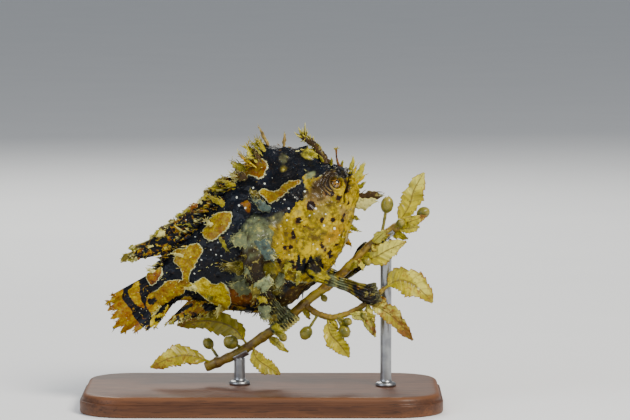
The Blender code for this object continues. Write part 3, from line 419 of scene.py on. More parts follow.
# Bands of colour along the limbs: how far along, reach, tint, strength.
ARM_BANDS = (
    (0.13, 0.09, "lobe_grey", 0.95),
    (0.24, 0.06, "bark", 0.9),
    (0.33, 0.05, "pit", 0.9),
    (0.42, 0.05, "bark", 0.9),
    (0.52, 0.04, "pit", 0.7),
    (0.62, 0.07, "lobe_grey", 0.9),
    (0.78, 0.09, "lobe_grey", 0.9),
)
PELVIC_BANDS = (
    (0.2, 0.06, "pit", 0.9),
    (0.36, 0.05, "lobe_yellow", 0.95),
    (0.52, 0.07, "lobe_grey", 0.9),
    (0.66, 0.05, "olive", 0.8),
    (0.84, 0.07, "pit", 0.95),
)


# Shapes as arrays


def cubic(f, start, start_slope, end, end_slope):
    """Cubic between two ends with those slopes, at the shares f of the way."""
    first = (2 * f**3 - 3 * f**2 + 1) * start + (f**3 - 2 * f**2 + f) * start_slope
    return first + ((3 * f**2 - 2 * f**3) * end + (f**3 - f**2) * end_slope)


def smooth_rows(rows, at):
    """Cubic curve through equally spaced rows, read at the positions `at` (0 is the first row)."""
    rows = np.asarray(rows, float)
    last = len(rows) - 1
    at = np.clip(np.asarray(at, float), 0.0, last)
    low = np.minimum(at.astype(int), last - 1)
    f = (at - low)[..., None]
    slope = np.gradient(rows, axis=0)
    return cubic(f, rows[low], slope[low], rows[low + 1], slope[low + 1])


def sampled(rows, count):
    """The smooth curve through the rows, as `count` points."""
    return smooth_rows(rows, np.linspace(0, len(rows) - 1, count))


def smooth_values(values, count):
    """The smooth curve through single numbers, as `count` numbers."""
    return sampled(np.asarray(values, float)[:, None], count)[:, 0]


def rounded(outline, steps=4):
    """A closed outline with its corners rounded: a cubic through its points, steps to a side."""
    points = np.asarray(outline, float)
    slope = (np.roll(points, -1, 0) - np.roll(points, 1, 0)) / 2
    ends = [each[:, None] for each in (points, slope, np.roll(points, -1, 0), np.roll(slope, -1, 0))]
    return cubic((np.arange(steps) / steps)[:, None], *ends).reshape(-1, points.shape[1])


def span(vectors):
    """Lengths of the vectors."""
    return np.linalg.norm(vectors, axis=-1)


def unit(vectors):
    """The vectors at length one."""
    return vectors / np.maximum(span(vectors), 1e-12)[..., None]


def soft_step(low, high, values):
    """0 up to low, 1 from high, and a smooth rise between them."""
    share = np.clip((np.asarray(values, float) - low) / (high - low), 0.0, 1.0)
    return share * share * (3 - 2 * share)


def bell(distance, reach):
    """Smooth bump: 1 at distance 0, and near 0 beyond twice the reach."""
    return np.exp(-((distance / reach) ** 2))


def ripple(points, length, seed, count=14):
    """Smooth random height between about -1 and 1: a sum of plane waves of about that length."""
    draw = np.random.default_rng(seed)
    ways = unit(draw.normal(size=(count, points.shape[-1])))
    rates = 2 * math.pi / (length * draw.uniform(0.75, 1.35, count))
    phases = draw.uniform(0, 2 * math.pi, count)
    total = np.zeros(points.shape[:-1])
    for way, rate, phase in zip(ways, rates, phases):
        total += np.sin(points @ (way * rate) + phase)
    return total / math.sqrt(count)


PROFILE = sampled(BODY_STATIONS, 701)


def section(behind):
    """Back height, belly height and half width of the body at that distance behind the snout."""
    return [np.interp(behind, PROFILE[:, 0], PROFILE[:, k]) for k in (1, 2, 3)]


def body_point(behind, turn):
    """Plain body in the body frame; turn runs from the back (0) over the right side to the belly.

    The section is a full ellipse: height follows cos(turn), width follows sin(turn) to a power.
    """
    behind, turn = np.broadcast_arrays(np.asarray(behind, float), np.asarray(turn, float))
    top, bottom, half = section(behind)
    rise = np.cos(turn)
    out = np.sign(np.sin(turn)) * np.abs(np.sin(turn)) ** SIDE_FULLNESS
    height = (top + bottom) / 2 + (top - bottom) / 2 * rise
    return np.stack((behind, height, half * out * (1 - BELLY_SWELL * rise)), axis=-1)


def hump_lift(points):
    """Lift of the back over the third spine, by distance from the hump's centre in its own reach."""
    away = np.hypot(
        (points[..., 0] - HUMP_CENTRE[0]) / HUMP_REACH[0],
        (points[..., 2] - HUMP_CENTRE[1]) / HUMP_REACH[1],
    )
    knots = (0.0, 0.3, 0.55, 0.75, 0.9, 1.05, 1.2, 1.4)
    lifts = np.array((3.85, 3.7, 3.25, 2.45, 1.5, 0.7, 0.2, 0.0))
    top, bottom, _ = section(points[..., 0])
    upper = soft_step(0.3, 0.6, (points[..., 1] - bottom) / (top - bottom))
    return np.interp(away, knots, lifts) * upper


def raised_point(behind, turn):
    """Body with its hump, in the body frame."""
    points = body_point(behind, turn)
    points[..., 1] += hump_lift(points)
    return points


def outside(point):
    """Positive outside the plain body and negative inside, in the body frame."""
    top, bottom, half = section(point[0])
    rise = (point[1] - (top + bottom) / 2) / ((top - bottom) / 2)
    width = half * (1 - BELLY_SWELL * np.clip(rise, -1, 1))
    return rise**2 + np.abs(point[2] / width) ** (2 / SIDE_FULLNESS) - 1


def seat(point, way):
    """Moves a body-frame point along the way until it lies on the plain body, by halving."""
    way = unit(way)
    low, high = -12.0, 12.0
    for _ in range(30):
        middle = (low + high) / 2
        if outside(point + middle * way) > 0:
            high = middle
        else:
            low = middle
    return point + high * way


def skin_place(behind, height, side):
    """Point and outward normal of the plain body on the right (side 1) or left (side -1)."""
    point = seat(np.array((behind, height, 0.0)), (0, 0, side))
    steps = 0.05 * np.eye(3)
    return point, unit([outside(point + step) - outside(point - step) for step in steps])


def to_world(points):
    """Body frame to the model's frame."""
    return SNOUT + np.asarray(points) @ BODY_AXES


def to_body(points):
    """Model's frame to the body frame."""
    return (np.asarray(points) - SNOUT) @ BODY_AXES.T


def grid_normals(points):
    """Normals of a grid of points: across one way of the grid and then the other."""
    return unit(np.cross(np.gradient(points, axis=0), np.gradient(points, axis=1)))


def frames_along(path, across):
    """Unit direction of travel, width and thickness at each point of a path."""
    travel = unit(np.gradient(path, axis=0))
    across = np.broadcast_to(np.asarray(across, float), path.shape)
    across = unit(across - (across * travel).sum(-1, keepdims=True) * travel)
    return travel, across, np.cross(travel, across)


def turns(count):
    """That many angles, evenly round a circle."""
    return np.linspace(0, 2 * math.pi, count, endpoint=False)


def tube_rings(path, widths, depths, across, sides):
    """Elliptic rings carried along a path; the widths are measured along `across`."""
    _, wide, deep = frames_along(path, across)
    turn = turns(sides)[:, None]
    x = widths[:, None, None] * np.cos(turn)
    y = depths[:, None, None] * np.sin(turn)
    return path[:, None] + x * wide[:, None] + y * deep[:, None]


def tube_faces(rows, sides):
    """Quads of a closed tube of rings, and triangles of a fan at each end.

    The two fan centres are the points after the last ring.
    """
    row = np.arange(rows - 1)[:, None] * sides
    side = np.arange(sides)
    after = (side + 1) % sides
    here, there = row + side, row + after
    quads = np.stack((here, there, there + sides, here + sides), -1).reshape(-1, 4)
    end = (rows - 1) * sides
    first = np.full(sides, rows * sides)
    fans = [(first, after, side), (first + 1, end + side, end + after)]
    return quads, np.concatenate([np.stack(fan, -1) for fan in fans])


def tube(rings):
    """Points, quads and triangles of a closed tube through rings, its ends closed by fans."""
    rings = np.asarray(rings)
    points = np.concatenate((rings.reshape(-1, 3), [rings[0].mean(0)], [rings[-1].mean(0)]))
    return (points, *tube_faces(*rings.shape[:2]))


def sheet(mid, half, normal):
    """Closed thin sheet round a grid: each face stands half the thickness off along the normal.

    The grid's edge is closed by a strip between the two faces.
    """
    rows, columns = mid.shape[:2]
    step = half[..., None] * np.asarray(normal)
    points = np.concatenate(((mid + step).reshape(-1, 3), (mid - step).reshape(-1, 3)))
    back = rows * columns
    grid = np.arange(back).reshape(rows, columns)
    a, c = grid[:-1, :-1].ravel(), grid[1:, :-1].ravel()
    faces = [np.stack((a, c, c + 1, a + 1), -1), back + np.stack((a, a + 1, c + 1, c), -1)]
    edge = np.concatenate((grid[:, 0], grid[-1, 1:], grid[-2::-1, -1], grid[0, -2:0:-1]))
    after = np.roll(edge, -1)
    faces.append(np.stack((edge, back + edge, back + after, after), -1))
    return points, np.concatenate(faces), np.zeros((0, 3), int)


def joined(shapes):
    """Several (points, quads, triangles) shapes as one."""
    starts = np.cumsum([0] + [len(shape[0]) for shape in shapes])
    points = np.concatenate([shape[0] for shape in shapes])
    faces = [np.concatenate([s[k] + start for s, start in zip(shapes, starts)]) for k in (1, 2)]
    return (points, *faces)


def outward(shape):
    """The shape with its faces turned outwards, told by the sign of the volume inside it."""
    points, quads, triangles = shape
    every = np.concatenate((quads[:, [0, 1, 2]], quads[:, [0, 2, 3]], triangles))
    a, b, c = ((points - points.mean(0))[every[:, k]] for k in range(3))
    if (a * np.cross(b, c)).sum() < 0:
        quads, triangles = quads[:, ::-1], triangles[:, ::-1]
    return points, quads, triangles


def make_piece(name, shape, finish, replaces=(), marks=None):
    """Adds a finished piece: its mesh with outward faces, its attributes and material."""
    points, quads, triangles = outward(shape)
    mesh = bpy.data.meshes.new(name)
    mesh.from_pydata((points * MM).tolist(), [], quads.tolist() + triangles.tolist())
    for mark, values in (marks or {}).items():
        kind, field = ("FLOAT_COLOR", "color") if values.ndim == 2 else ("FLOAT", "value")
        attribute = mesh.attributes.new(mark, kind, "POINT")
        attribute.data.foreach_set(field, np.ascontiguousarray(values, np.float32).ravel())
    mesh.shade_smooth()
    mesh.materials.append(finish)
    piece = bpy.data.objects.new(name, mesh)
    bpy.context.scene.collection.objects.link(piece)
    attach(piece, "root")
    if replaces:
        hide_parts(*replaces)


# The flat map of the flank, and the marks on it


def view_to_body(outline):
    """Side view marks, in quarter millimetres, to distance behind the snout and height."""
    across, down = np.asarray(outline, float).T
    aside, above = VIEW_ORIGIN
    world = np.stack((across - aside, 0 * across, above - down), axis=-1) * VIEW_STEP
    return to_body(world)[:, :2]


FLANK_STEPS = 180


@functools.lru_cache
def flank_table():
    """The right flank as a table of stations and turns, and each place's length along and round.

    Length along is measured on the mid flank, and length round from the mid flank, in mm.
    """
    behind = np.unique(PROFILE[:, 0])[::3]
    turn = np.linspace(0, math.pi, FLANK_STEPS + 1)
    middle = FLANK_STEPS // 2
    points = raised_point(behind[:, None], turn)
    steps = span(np.diff(points, axis=1))
    round_ = np.concatenate((np.zeros((len(behind), 1)), np.cumsum(steps, axis=1)), axis=1)
    round_ = round_ - round_[:, middle, None]
    stride = span(np.diff(points[:, middle], axis=0))
    along = np.concatenate(((0.0,), np.cumsum(stride)))
    return behind, turn, points, along, round_


def flank_map(behind, turn):
    """Place on the flat map, in mm, of points at a distance behind the snout and a turn up to pi."""
    stations, _, _, along, round_ = flank_table()
    row = np.interp(behind, stations, np.arange(len(stations)))
    column = np.clip(turn / math.pi * FLANK_STEPS, 0, FLANK_STEPS)
    i = np.minimum(row.astype(int), len(stations) - 2)
    j = np.minimum(column.astype(int), FLANK_STEPS - 1)
    f, g = row - i, column - j
    upper = round_[i, j] * (1 - g) + round_[i, j + 1] * g
    lower = round_[i + 1, j] * (1 - g) + round_[i + 1, j + 1] * g
    return np.stack((np.interp(behind, stations, along), upper * (1 - f) + lower * f), axis=-1)


def view_to_skin(outline):
    """Side view marks to distance behind the snout and turn on the right flank."""
    stations, angles, points, _, _ = flank_table()
    places = view_to_body(outline)
    behind = np.clip(places[:, 0], stations[0], stations[-1])
    row = np.interp(behind, stations, np.arange(len(stations))).round().astype(int)
    column = np.abs(points[row, :, 1] - places[:, 1:2]).argmin(1)
    return behind, angles[column]


def skin_chart(outline):
    """Side view marks on the flat map of the flank."""
    return flank_map(*view_to_skin(outline))


FAR = 4.0  # beyond this distance in mm from a mark nothing of it shows


def outline_distance(points, outline):
    """Signed distance to a closed outline, negative inside; beyond FAR it is left at FAR.

    The nearest side gives the size, and the number of sides crossed to the right gives the sign.
    """
    distance = np.full(len(points), FAR)
    near = ((points > outline.min(0) - FAR) & (points < outline.max(0) + FAR)).all(1)
    here = points[near]
    if not len(here):
        return distance
    start, end = outline, np.roll(outline, -1, axis=0)
    edge = end - start
    reach = here[:, None] - start[None]
    share = np.clip((reach * edge).sum(-1) / np.maximum((edge**2).sum(-1), 1e-12), 0, 1)
    nearest = np.sqrt(((reach - share[..., None] * edge) ** 2).sum(-1)).min(1)
    level = here[:, 1:2]
    slope = edge[:, 0] / np.where(np.abs(edge[:, 1]) < 1e-12, 1e-12, edge[:, 1])
    crossing = start[:, 0] + (level - start[:, 1]) * slope
    crossed = ((start[:, 1] > level) != (end[:, 1] > level)) & (here[:, :1] < crossing)
    inside = crossed.sum(1) % 2 == 1
    distance[near] = np.clip(np.where(inside, -nearest, nearest), -FAR, FAR)
    return distance


def round_distance(points, places, radii):
    """Signed distance to the nearest of several round marks, negative inside."""
    distance = np.full(len(points), FAR)
    for place, radius in zip(places, radii):
        distance = np.minimum(distance, np.hypot(*(points - place).T) - radius)
    return distance


def read_marks(points, chart):
    """Every mark at places on a flat map; chart turns side view outlines into that map.

    patch, streak, cheek, spot and dot are signed distances in mm, tone and rim are those of the
    nearest patch, and wash is a colour with its strength.
    """
    marks = plain_marks(len(points))
    for (tone_top, tone_foot, rim), *outline in PATCHES:
        flat = chart(rounded(outline))
        distance = outline_distance(points, flat)
        closer = distance < marks["patch"]
        foot = np.clip((points - flat.min(0)) / np.maximum(np.ptp(flat, axis=0), 1e-6), 0, 1)[:, 1]
        if chart is view_to_body:
            foot = 1 - foot
        tone = tone_top + (tone_foot - tone_top) * foot
        for name, values in (("patch", distance), ("tone", tone), ("rim", rim)):
            marks[name] = np.where(closer, values, marks[name])
    for outline in DARK_STREAKS:
        distance = outline_distance(points, chart(rounded(outline)))
        marks["streak"] = np.minimum(marks["streak"], distance)
    marks["cheek"] = outline_distance(points, chart(rounded(CHEEK_OUTLINE)))
    for mark, rounds in (("spot", SPOTS), ("dot", DOTS)):
        rounds = np.array(rounds, float)
        marks[mark] = round_distance(points, chart(rounds[:, :2]), rounds[:, 2] * VIEW_STEP)
    for *oval, tint, strength in WASHES:
        lay_wash(marks, tint, strength * soft_oval(points, oval, chart))
    for *oval, strength in SHADES:
        marks["shade"] = np.maximum(marks["shade"], strength * soft_oval(points, oval, chart))
    return marks


def soft_oval(points, oval, chart):
    """Share of a soft oval mark, (place, reaches), at places on a flat map."""
    away = (points - chart(np.array((oval[:2],), float))) / (np.array(oval[2:]) * VIEW_STEP)
    return np.exp(-1.1 * (away**2).sum(1) ** 1.5)


def lay_wash(marks, tint, share):
    """Lays a tint over the wash by a share: colours mix, and strengths add up to one."""
    wash, share = marks["wash"], share[:, None]
    strength = wash[:, 3:] + share * (1 - wash[:, 3:])
    under = wash[:, :3] * wash[:, 3:] * (1 - share)
    mixed = (under + np.array(linear(TINTS[tint])) * share) / np.maximum(strength, 1e-6)
    marks["wash"] = np.concatenate((mixed, strength), axis=-1)


def plain_marks(count, mottle=0.0):
    """Marks with nothing on them, for pieces coloured by washes alone."""
    marks = {name: np.full(count, FAR) for name in ("patch", "streak", "cheek", "spot", "dot")}
    for name in ("tone", "rim", "tip", "crease", "shade"):
        marks[name] = np.zeros(count)
    marks["mottle"] = np.full(count, mottle)
    marks["wash"] = np.zeros((count, 4))
    return marks


# The skin


def skin_stations(rows):
    """Distances behind the snout for the skin's rings: even along the surface, closer at the face."""
    stations = np.linspace(SKIN_START, SKIN_END, 2000)
    top, _, half = section(stations)
    stride = np.sqrt(np.diff(stations) ** 2 + np.diff(half) ** 2 + np.diff(top) ** 2)
    density = 1.0 + 1.1 * (1 - soft_step(4.0, 14.0, stations[1:]))
    travelled = np.concatenate(((0.0,), np.cumsum(stride * density)))
    return np.interp(np.linspace(0, travelled[-1], rows), travelled, stations)


def eye_frame(side):
    """Centre of the eyeball and the way that it looks, in the body frame."""
    point, normal = skin_place(*EYE_PLACE, side)
    return point - EYE_SINK * normal, normal


def face_relief(points):
    """Relief of the face, and the painted shade in its creases from 0 to 1.

    Lips and a groove along the mouth line, a nostril tube, lids and folds round each eye, a knob.
    """
    line = unit(MOUTH_CORNER - MOUTH_FRONT)
    length = span(MOUTH_CORNER - MOUTH_FRONT)
    from_front = points[..., :2] - MOUTH_FRONT
    along = from_front @ line / length
    off_line = from_front @ np.array((-line[1], line[0])) + 0.2 * np.sin(along * 7.0)
    shown = soft_step(1.12, 0.9, along) * soft_step(-0.7, -0.2, along)
    shown = shown * soft_step(9.0, 6.0, points[..., 0])
    lips = 0.62 * bell(np.abs(off_line) - 0.62, 0.42)
    groove = bell(off_line, 0.2)
    relief = shown * (lips - 0.6 * groove - 0.2 * bell(off_line + 1.6, 0.35))
    # Painted shade: the mouth's groove is darkened.
    crease = shown * groove
    wobble = 0.22 * ripple(points, 2.6, 33, 8)
    for side in (1, -1):
        centre, normal = eye_frame(side)
        reach = points - centre
        height = reach @ normal
        away = span(reach - height[..., None] * normal)
        near = (height > -2.5) * 1.0
        loose = away + wobble * soft_step(2.0, 3.0, away)
        socket = -1.5 * soft_step(1.55, 1.25, away)
        lid = 0.5 * bell(away - 1.8, 0.34)
        folds = 0.26 * bell(loose - 2.6, 0.2) + 0.2 * bell(loose - 3.3, 0.2)
        grooves = bell(loose - 2.25, 0.26) + bell(loose - 3.0, 0.22)
        grooves = grooves + 0.8 * bell(loose - 3.75, 0.2)
        rear_side = soft_step(-0.6, 1.8, 0.86 * reach[..., 0] + 0.7 * reach[..., 1])
        folds = folds - 0.14 * grooves
        turret = 0.5 * soft_step(3.4, 1.6, away)
        relief = relief + near * (socket + lid + folds * (0.3 + 0.7 * rear_side) + turret)
        # Painted shade in the grooves round the eye, most on its rear side.
        crease = crease + near * grooves * (0.1 + 0.9 * rear_side)
        tube_place, _ = skin_place(*NOSTRIL_PLACE, side)
        away = span(points - tube_place)
        relief = relief + 0.6 * bell(away, 0.42) - 0.7 * bell(away, 0.18)
        # Painted shade in the nostril's opening.
        crease = crease + bell(away, 0.2)
    knob = np.hypot(points[..., 0] - KNOB_PLACE, points[..., 2]) / KNOB_REACH
    top, _, _ = section(points[..., 0])
    on_top = soft_step(-3.0, -1.0, points[..., 1] - top)
    lumps = 1.0 + 0.45 * ripple(points, 1.1, 31, 8)
    return relief + 1.15 * np.exp(-(knob**4)) * lumps * on_top, np.clip(crease, 0, 1)


def body_relief(points):
    """Relief of the body, and the painted shade in its creases from 0 to 1.

    Shoulder lobe with a hollow under it, hip, slack folds, warts and fine granules.
    """
    relief = np.zeros(points.shape[:-1])
    crease = np.zeros(points.shape[:-1])
    for side in (1, -1):
        shoulder, _ = skin_place(*SHOULDER, side)
        reach = points - shoulder
        away = span(reach)
        relief += 1.3 * np.exp(-((away / SHOULDER_ROUND) ** 3))
        relief -= 0.4 * bell(away - 5.8, 0.8)
        # Painted shade in the hollow under the shoulder lobe.
        below = soft_step(0.0, -3.0, reach[..., 1]) * soft_step(-2.0, 1.0, reach[..., 0])
        crease += 0.8 * below * bell(away - 6.0, 1.6)
        hip, _ = skin_place(18.0, -13.0, side)
        relief += 0.9 * bell(span(points - hip), 3.0)
    relief += 0.2 * ripple(points, 7.0, 3) + 0.1 * ripple(points, 2.2, 4)
    relief += 0.2 * np.maximum(ripple(points, 1.5, 5, 18) - 0.9, 0.0)
    return relief + 0.03 * ripple(points, 0.75, 6, 22), crease


def skin_surface(rows, columns):
    """The whole skin in the body frame, with its normals, its places and its marks.

    A ring of turns at each station gives the body and its hump; relief moves it along its normals.
    Patches stand a little proud, with a thicker rim.
    """
    behind = skin_stations(rows)
    turn = turns(columns)
    smooth = raised_point(behind[:, None], turn)
    padded = np.concatenate((smooth[:, -1:], smooth, smooth[:, :1]), axis=1)
    normals = -grid_normals(padded)[:, 1:-1]
    marks = skin_marks(np.repeat(behind, columns), np.tile(turn, rows))
    patch, rim = (marks[name].reshape(rows, columns) for name in ("patch", "rim"))
    proud = 0.2 * soft_step(0.4, -0.1, patch) + 0.16 * bell(patch - rim / 2, 0.3)
    face, face_crease_shade = face_relief(smooth)
    body, body_crease_shade = body_relief(smooth)
    relief = face + body + proud * soft_step(0.0, 0.3, rim)
    fade = soft_step(SKIN_START, -1.0, behind) * soft_step(SKIN_END, SKIN_END - 2, behind)
    points = smooth + (relief * (0.35 + 0.65 * fade[:, None]))[..., None] * normals
    # The painted shade of the creases, face and body together.
    marks["crease"] = np.clip(face_crease_shade + body_crease_shade, 0, 1).ravel()
    return points, normals, marks


def skin_marks(behind, turn):
    """Marks on the skin, mottled under the belly.

    The left flank has the right one's marks on a gently shifted map.
    """
    left = turn > math.pi
    folded = np.where(left, 2 * math.pi - turn, turn)
    points = flank_map(behind, folded)
    shift = np.where(left, soft_step(0.05, 0.6, np.sin(folded)), 0.0)
    points[:, 0] += shift * (1.6 * np.sin(0.33 * points[:, 0] + 1.0) + 1.2)
    points[:, 1] += shift * 1.3 * np.sin(0.27 * points[:, 0] + 2.2)
    marks = read_marks(points, skin_chart)
    marks["mottle"] = 0.7 * soft_step(2.05, 2.5, folded)
    return marks


def flaps(roots, ways, across, lengths, widths, bends, rows=6, sides=6, thin=0.34, leaf=0.5):
    """Many tapered flaps at once, with roots, ways and sizes as arrays of one row a flap.

    A flap's mid line is root + way * length * s + bend * length * s squared, for s from 0 to 1.
    Its half width mixes a spike, (1 - s) to a power, with a leaf, sin(pi * s), by `leaf`.
    """
    count = len(roots)
    s = np.linspace(0.0, 0.985, rows)[None, :, None]
    ways = unit(ways)
    path = roots[:, None] + lengths[:, None, None] * (s * ways[:, None] + s**2 * bends[:, None])
    travel = unit(ways[:, None] + 2 * s * bends[:, None])
    wide = unit(across[:, None] - (across[:, None] * travel).sum(-1, keepdims=True) * travel)
    deep = np.cross(travel, wide)
    spike = (1 - s[..., 0]) ** 0.6
    blade = np.sin(math.pi * (0.12 + 0.88 * s[..., 0])) ** 0.8
    half = widths[:, None] / 2 * ((1 - leaf) * spike + leaf * blade)
    depth = np.maximum(half * thin, 0.05)
    turn = turns(sides)
    rings = path[:, :, None] + (half[..., None] * np.cos(turn))[..., None] * wide[:, :, None]
    rings = rings + (depth[..., None] * np.sin(turn))[..., None] * deep[:, :, None]
    ends = np.stack((path[:, 0], path[:, -1] + 0.015 * lengths[:, None] * travel[:, -1]), axis=1)
    points = np.concatenate((rings.reshape(count, -1, 3), ends), axis=1)
    quads, triangles = tube_faces(rows, sides)
    offset = (np.arange(count) * points.shape[1])[:, None, None]
    faces = ((quads + offset).reshape(-1, 4), (triangles + offset).reshape(-1, 3))
    along = np.append(np.repeat(s[0, :, 0], sides), (0.0, 1.0))
    return (points.reshape(-1, 3), *faces), np.tile(along, count)


def shoots(mid, count, length, width, draw, end_only=False):
    """Small tapered flaps that grow from the margin of a grid, from a little inside it.

    The grid's rows run from root to tip. Each shoot points away from the grid's middle.
    """
    rows, columns = mid.shape[:2]
    at_end = draw.uniform(size=count) < (1.0 if end_only else 0.3)
    row = np.where(at_end, rows - 1, draw.integers(rows // 4, rows, count))
    end_column, side = draw.integers(0, columns, count), draw.integers(0, 2, count)
    column = np.where(at_end, end_column, side * (columns - 1))
    inner_row = np.where(at_end, row - 3, np.maximum(row - 3, 0))
    inner_column = np.where(column == 0, 1, np.where(column == columns - 1, columns - 2, column))
    edge, inner = mid[row, column], mid[inner_row, inner_column]
    root = 0.65 * edge + 0.35 * inner
    lengths = length * draw.uniform(0.5, 1.3, count)
    ways = unit(edge - inner) + 0.5 * draw.normal(size=(count, 3))
    widths = width * draw.uniform(0.6, 1.3, count)
    bends = 0.15 * draw.normal(size=(count, 3))
    return flaps(root, ways, draw.normal(size=(count, 3)), lengths, widths, bends, 5, 5)


# Materials


class Value:
    """A shader socket that takes part in Python expressions; each operation adds its node."""

    def __init__(self, paint, socket):
        self.paint = paint
        self.socket = socket

    def __add__(self, other):
        return self.paint.math("ADD", self, other)

    def __sub__(self, other):
        return self.paint.math("SUBTRACT", self, other)

    def __rsub__(self, other):
        return self.paint.math("SUBTRACT", other, self)

    def __mul__(self, other):
        return self.paint.math("MULTIPLY", self, other)

    __radd__ = __add__
    __rmul__ = __mul__


class Paint:
    """A material's node tree, the colour laid so far, and the ways to add to them."""

    def __init__(
        self, name, base=None, roughness=0.5, coat=0.0, coat_roughness=0.1, metallic=0.0, specular=0.5
    ):
        self.base = base
        self.material = bpy.data.materials.new(name)
        self.material.use_nodes = True
        self.tree = self.material.node_tree
        self.shader = self.tree.nodes["Principled BSDF"]
        for socket, value in (
            ("Roughness", roughness),
            ("Coat Weight", coat),
            ("Coat Roughness", coat_roughness),
            ("Metallic", metallic),
            ("Specular IOR Level", specular),
        ):
            self.shader.inputs[socket].default_value = value

    def node(self, kind, settings=None, inputs=None, output=0):
        """Adds a node: first its settings, then the values or links of its sockets."""
        node = self.tree.nodes.new(kind)
        for name, setting in (settings or {}).items():
            if name == "stops":
                self.set_stops(node.color_ramp.elements, setting)
            else:
                setattr(node, name, setting)
        for name, value in (inputs or {}).items():
            self.fill(node.inputs[name], value)
        return Value(self, node.outputs[output])

    def fill(self, socket, value):
        """Links a socket or sets its value, as an opaque colour where it is a colour."""
        if isinstance(value, Value):
            self.tree.links.new(value.socket, socket)
        elif socket.type == "RGBA":
            socket.default_value = (*linear(value), 1.0)
        else:
            socket.default_value = value

    @staticmethod
    def set_stops(elements, stops):
        """Sets a colour ramp's stops from (position, colour) pairs."""
        while len(elements) < len(stops):
            elements.new(1.0)
        for element, (position, tint) in zip(elements, stops):
            element.position = position
            element.color = (*linear(tint), 1.0)

    def math(self, operation, *values):
        return self.node("ShaderNodeMath", {"operation": operation}, dict(enumerate(values)))

    def place(self, scale=None):
        """Object coordinates, stretched by the scale."""
        coordinates = self.node("ShaderNodeTexCoord", output="Object")
        if scale is None:
            return coordinates
        return self.node("ShaderNodeMapping", None, {"Vector": coordinates, "Scale": scale})

    def noise(self, size, detail=2.0, vector=None, distortion=0.0):
        """Noise from 0 to 1 whose lumps are about `size` mm."""
        inputs = {
            "Vector": vector or self.place(),
            "Scale": 1.0 / (size * MM),
            "Detail": detail,
            "Distortion": distortion,
            "Roughness": 0.55,
        }
        return self.node("ShaderNodeTexNoise", None, inputs, "Fac")

    def cells(self, size, output="Distance"):
        """Cells of about `size` mm: distance to the nearest centre, or the cell's colour."""
        inputs = {"Vector": self.place(), "Scale": 1.0 / (size * MM)}
        return self.node("ShaderNodeTexVoronoi", None, inputs, output)

    def attribute(self, name, output="Fac"):
        """A number or a colour stored on the mesh."""
        return self.node("ShaderNodeAttribute", {"attribute_name": name}, None, output)

    def step(self, value, low, high):
        """Smooth step: 0 at low and 1 at high, which may be the smaller number."""
        settings = {"interpolation_type": "SMOOTHSTEP"}
        inputs = {"Value": value, "From Min": low, "From Max": high}
        return self.node("ShaderNodeMapRange", settings, inputs)

    def blend(self, share, first, second, way="MIX"):
        """Colour mix: the first colour at share 0 and the second at share 1."""
        settings = {"data_type": "RGBA", "blend_type": way, "clamp_factor": True}
        return self.node("ShaderNodeMix", settings, {0: share, 6: first, 7: second}, 2)

    def lay(self, share, tint, way="MIX"):
        """Lays a colour over the base by a share."""
        self.base = self.blend(share, self.base, tint, way)

    def over(self, value, low, high, tint, strength=1.0):
        """Lays a colour over the base where a value steps from low to high."""
        self.base = self.layer(self.base, value, low, high, tint, strength)

    def layer(self, under, value, low, high, tint, strength=1.0):
        """A colour over another one, where a value steps from low to high."""
        share = self.step(value, low, high)
        return self.blend(share if strength == 1.0 else share * strength, under, tint)

    def ramp(self, share, *stops):
        """Colour ramp through (position, colour) stops."""
        return self.node("ShaderNodeValToRGB", {"stops": stops}, {"Fac": share})

    def finish(self, roughness=None, height=None, depth=0.1, strength=1.0):
        """Feeds the shader: the colour laid, roughness, and a bump of that depth in mm."""
        self.fill(self.shader.inputs["Base Color"], self.base)
        if roughness is not None:
            self.fill(self.shader.inputs["Roughness"], roughness)
        if height is not None:
            inputs = {"Height": height, "Distance": depth * MM, "Strength": strength}
            self.fill(self.shader.inputs["Normal"], self.node("ShaderNodeBump", None, inputs))
        return self.material


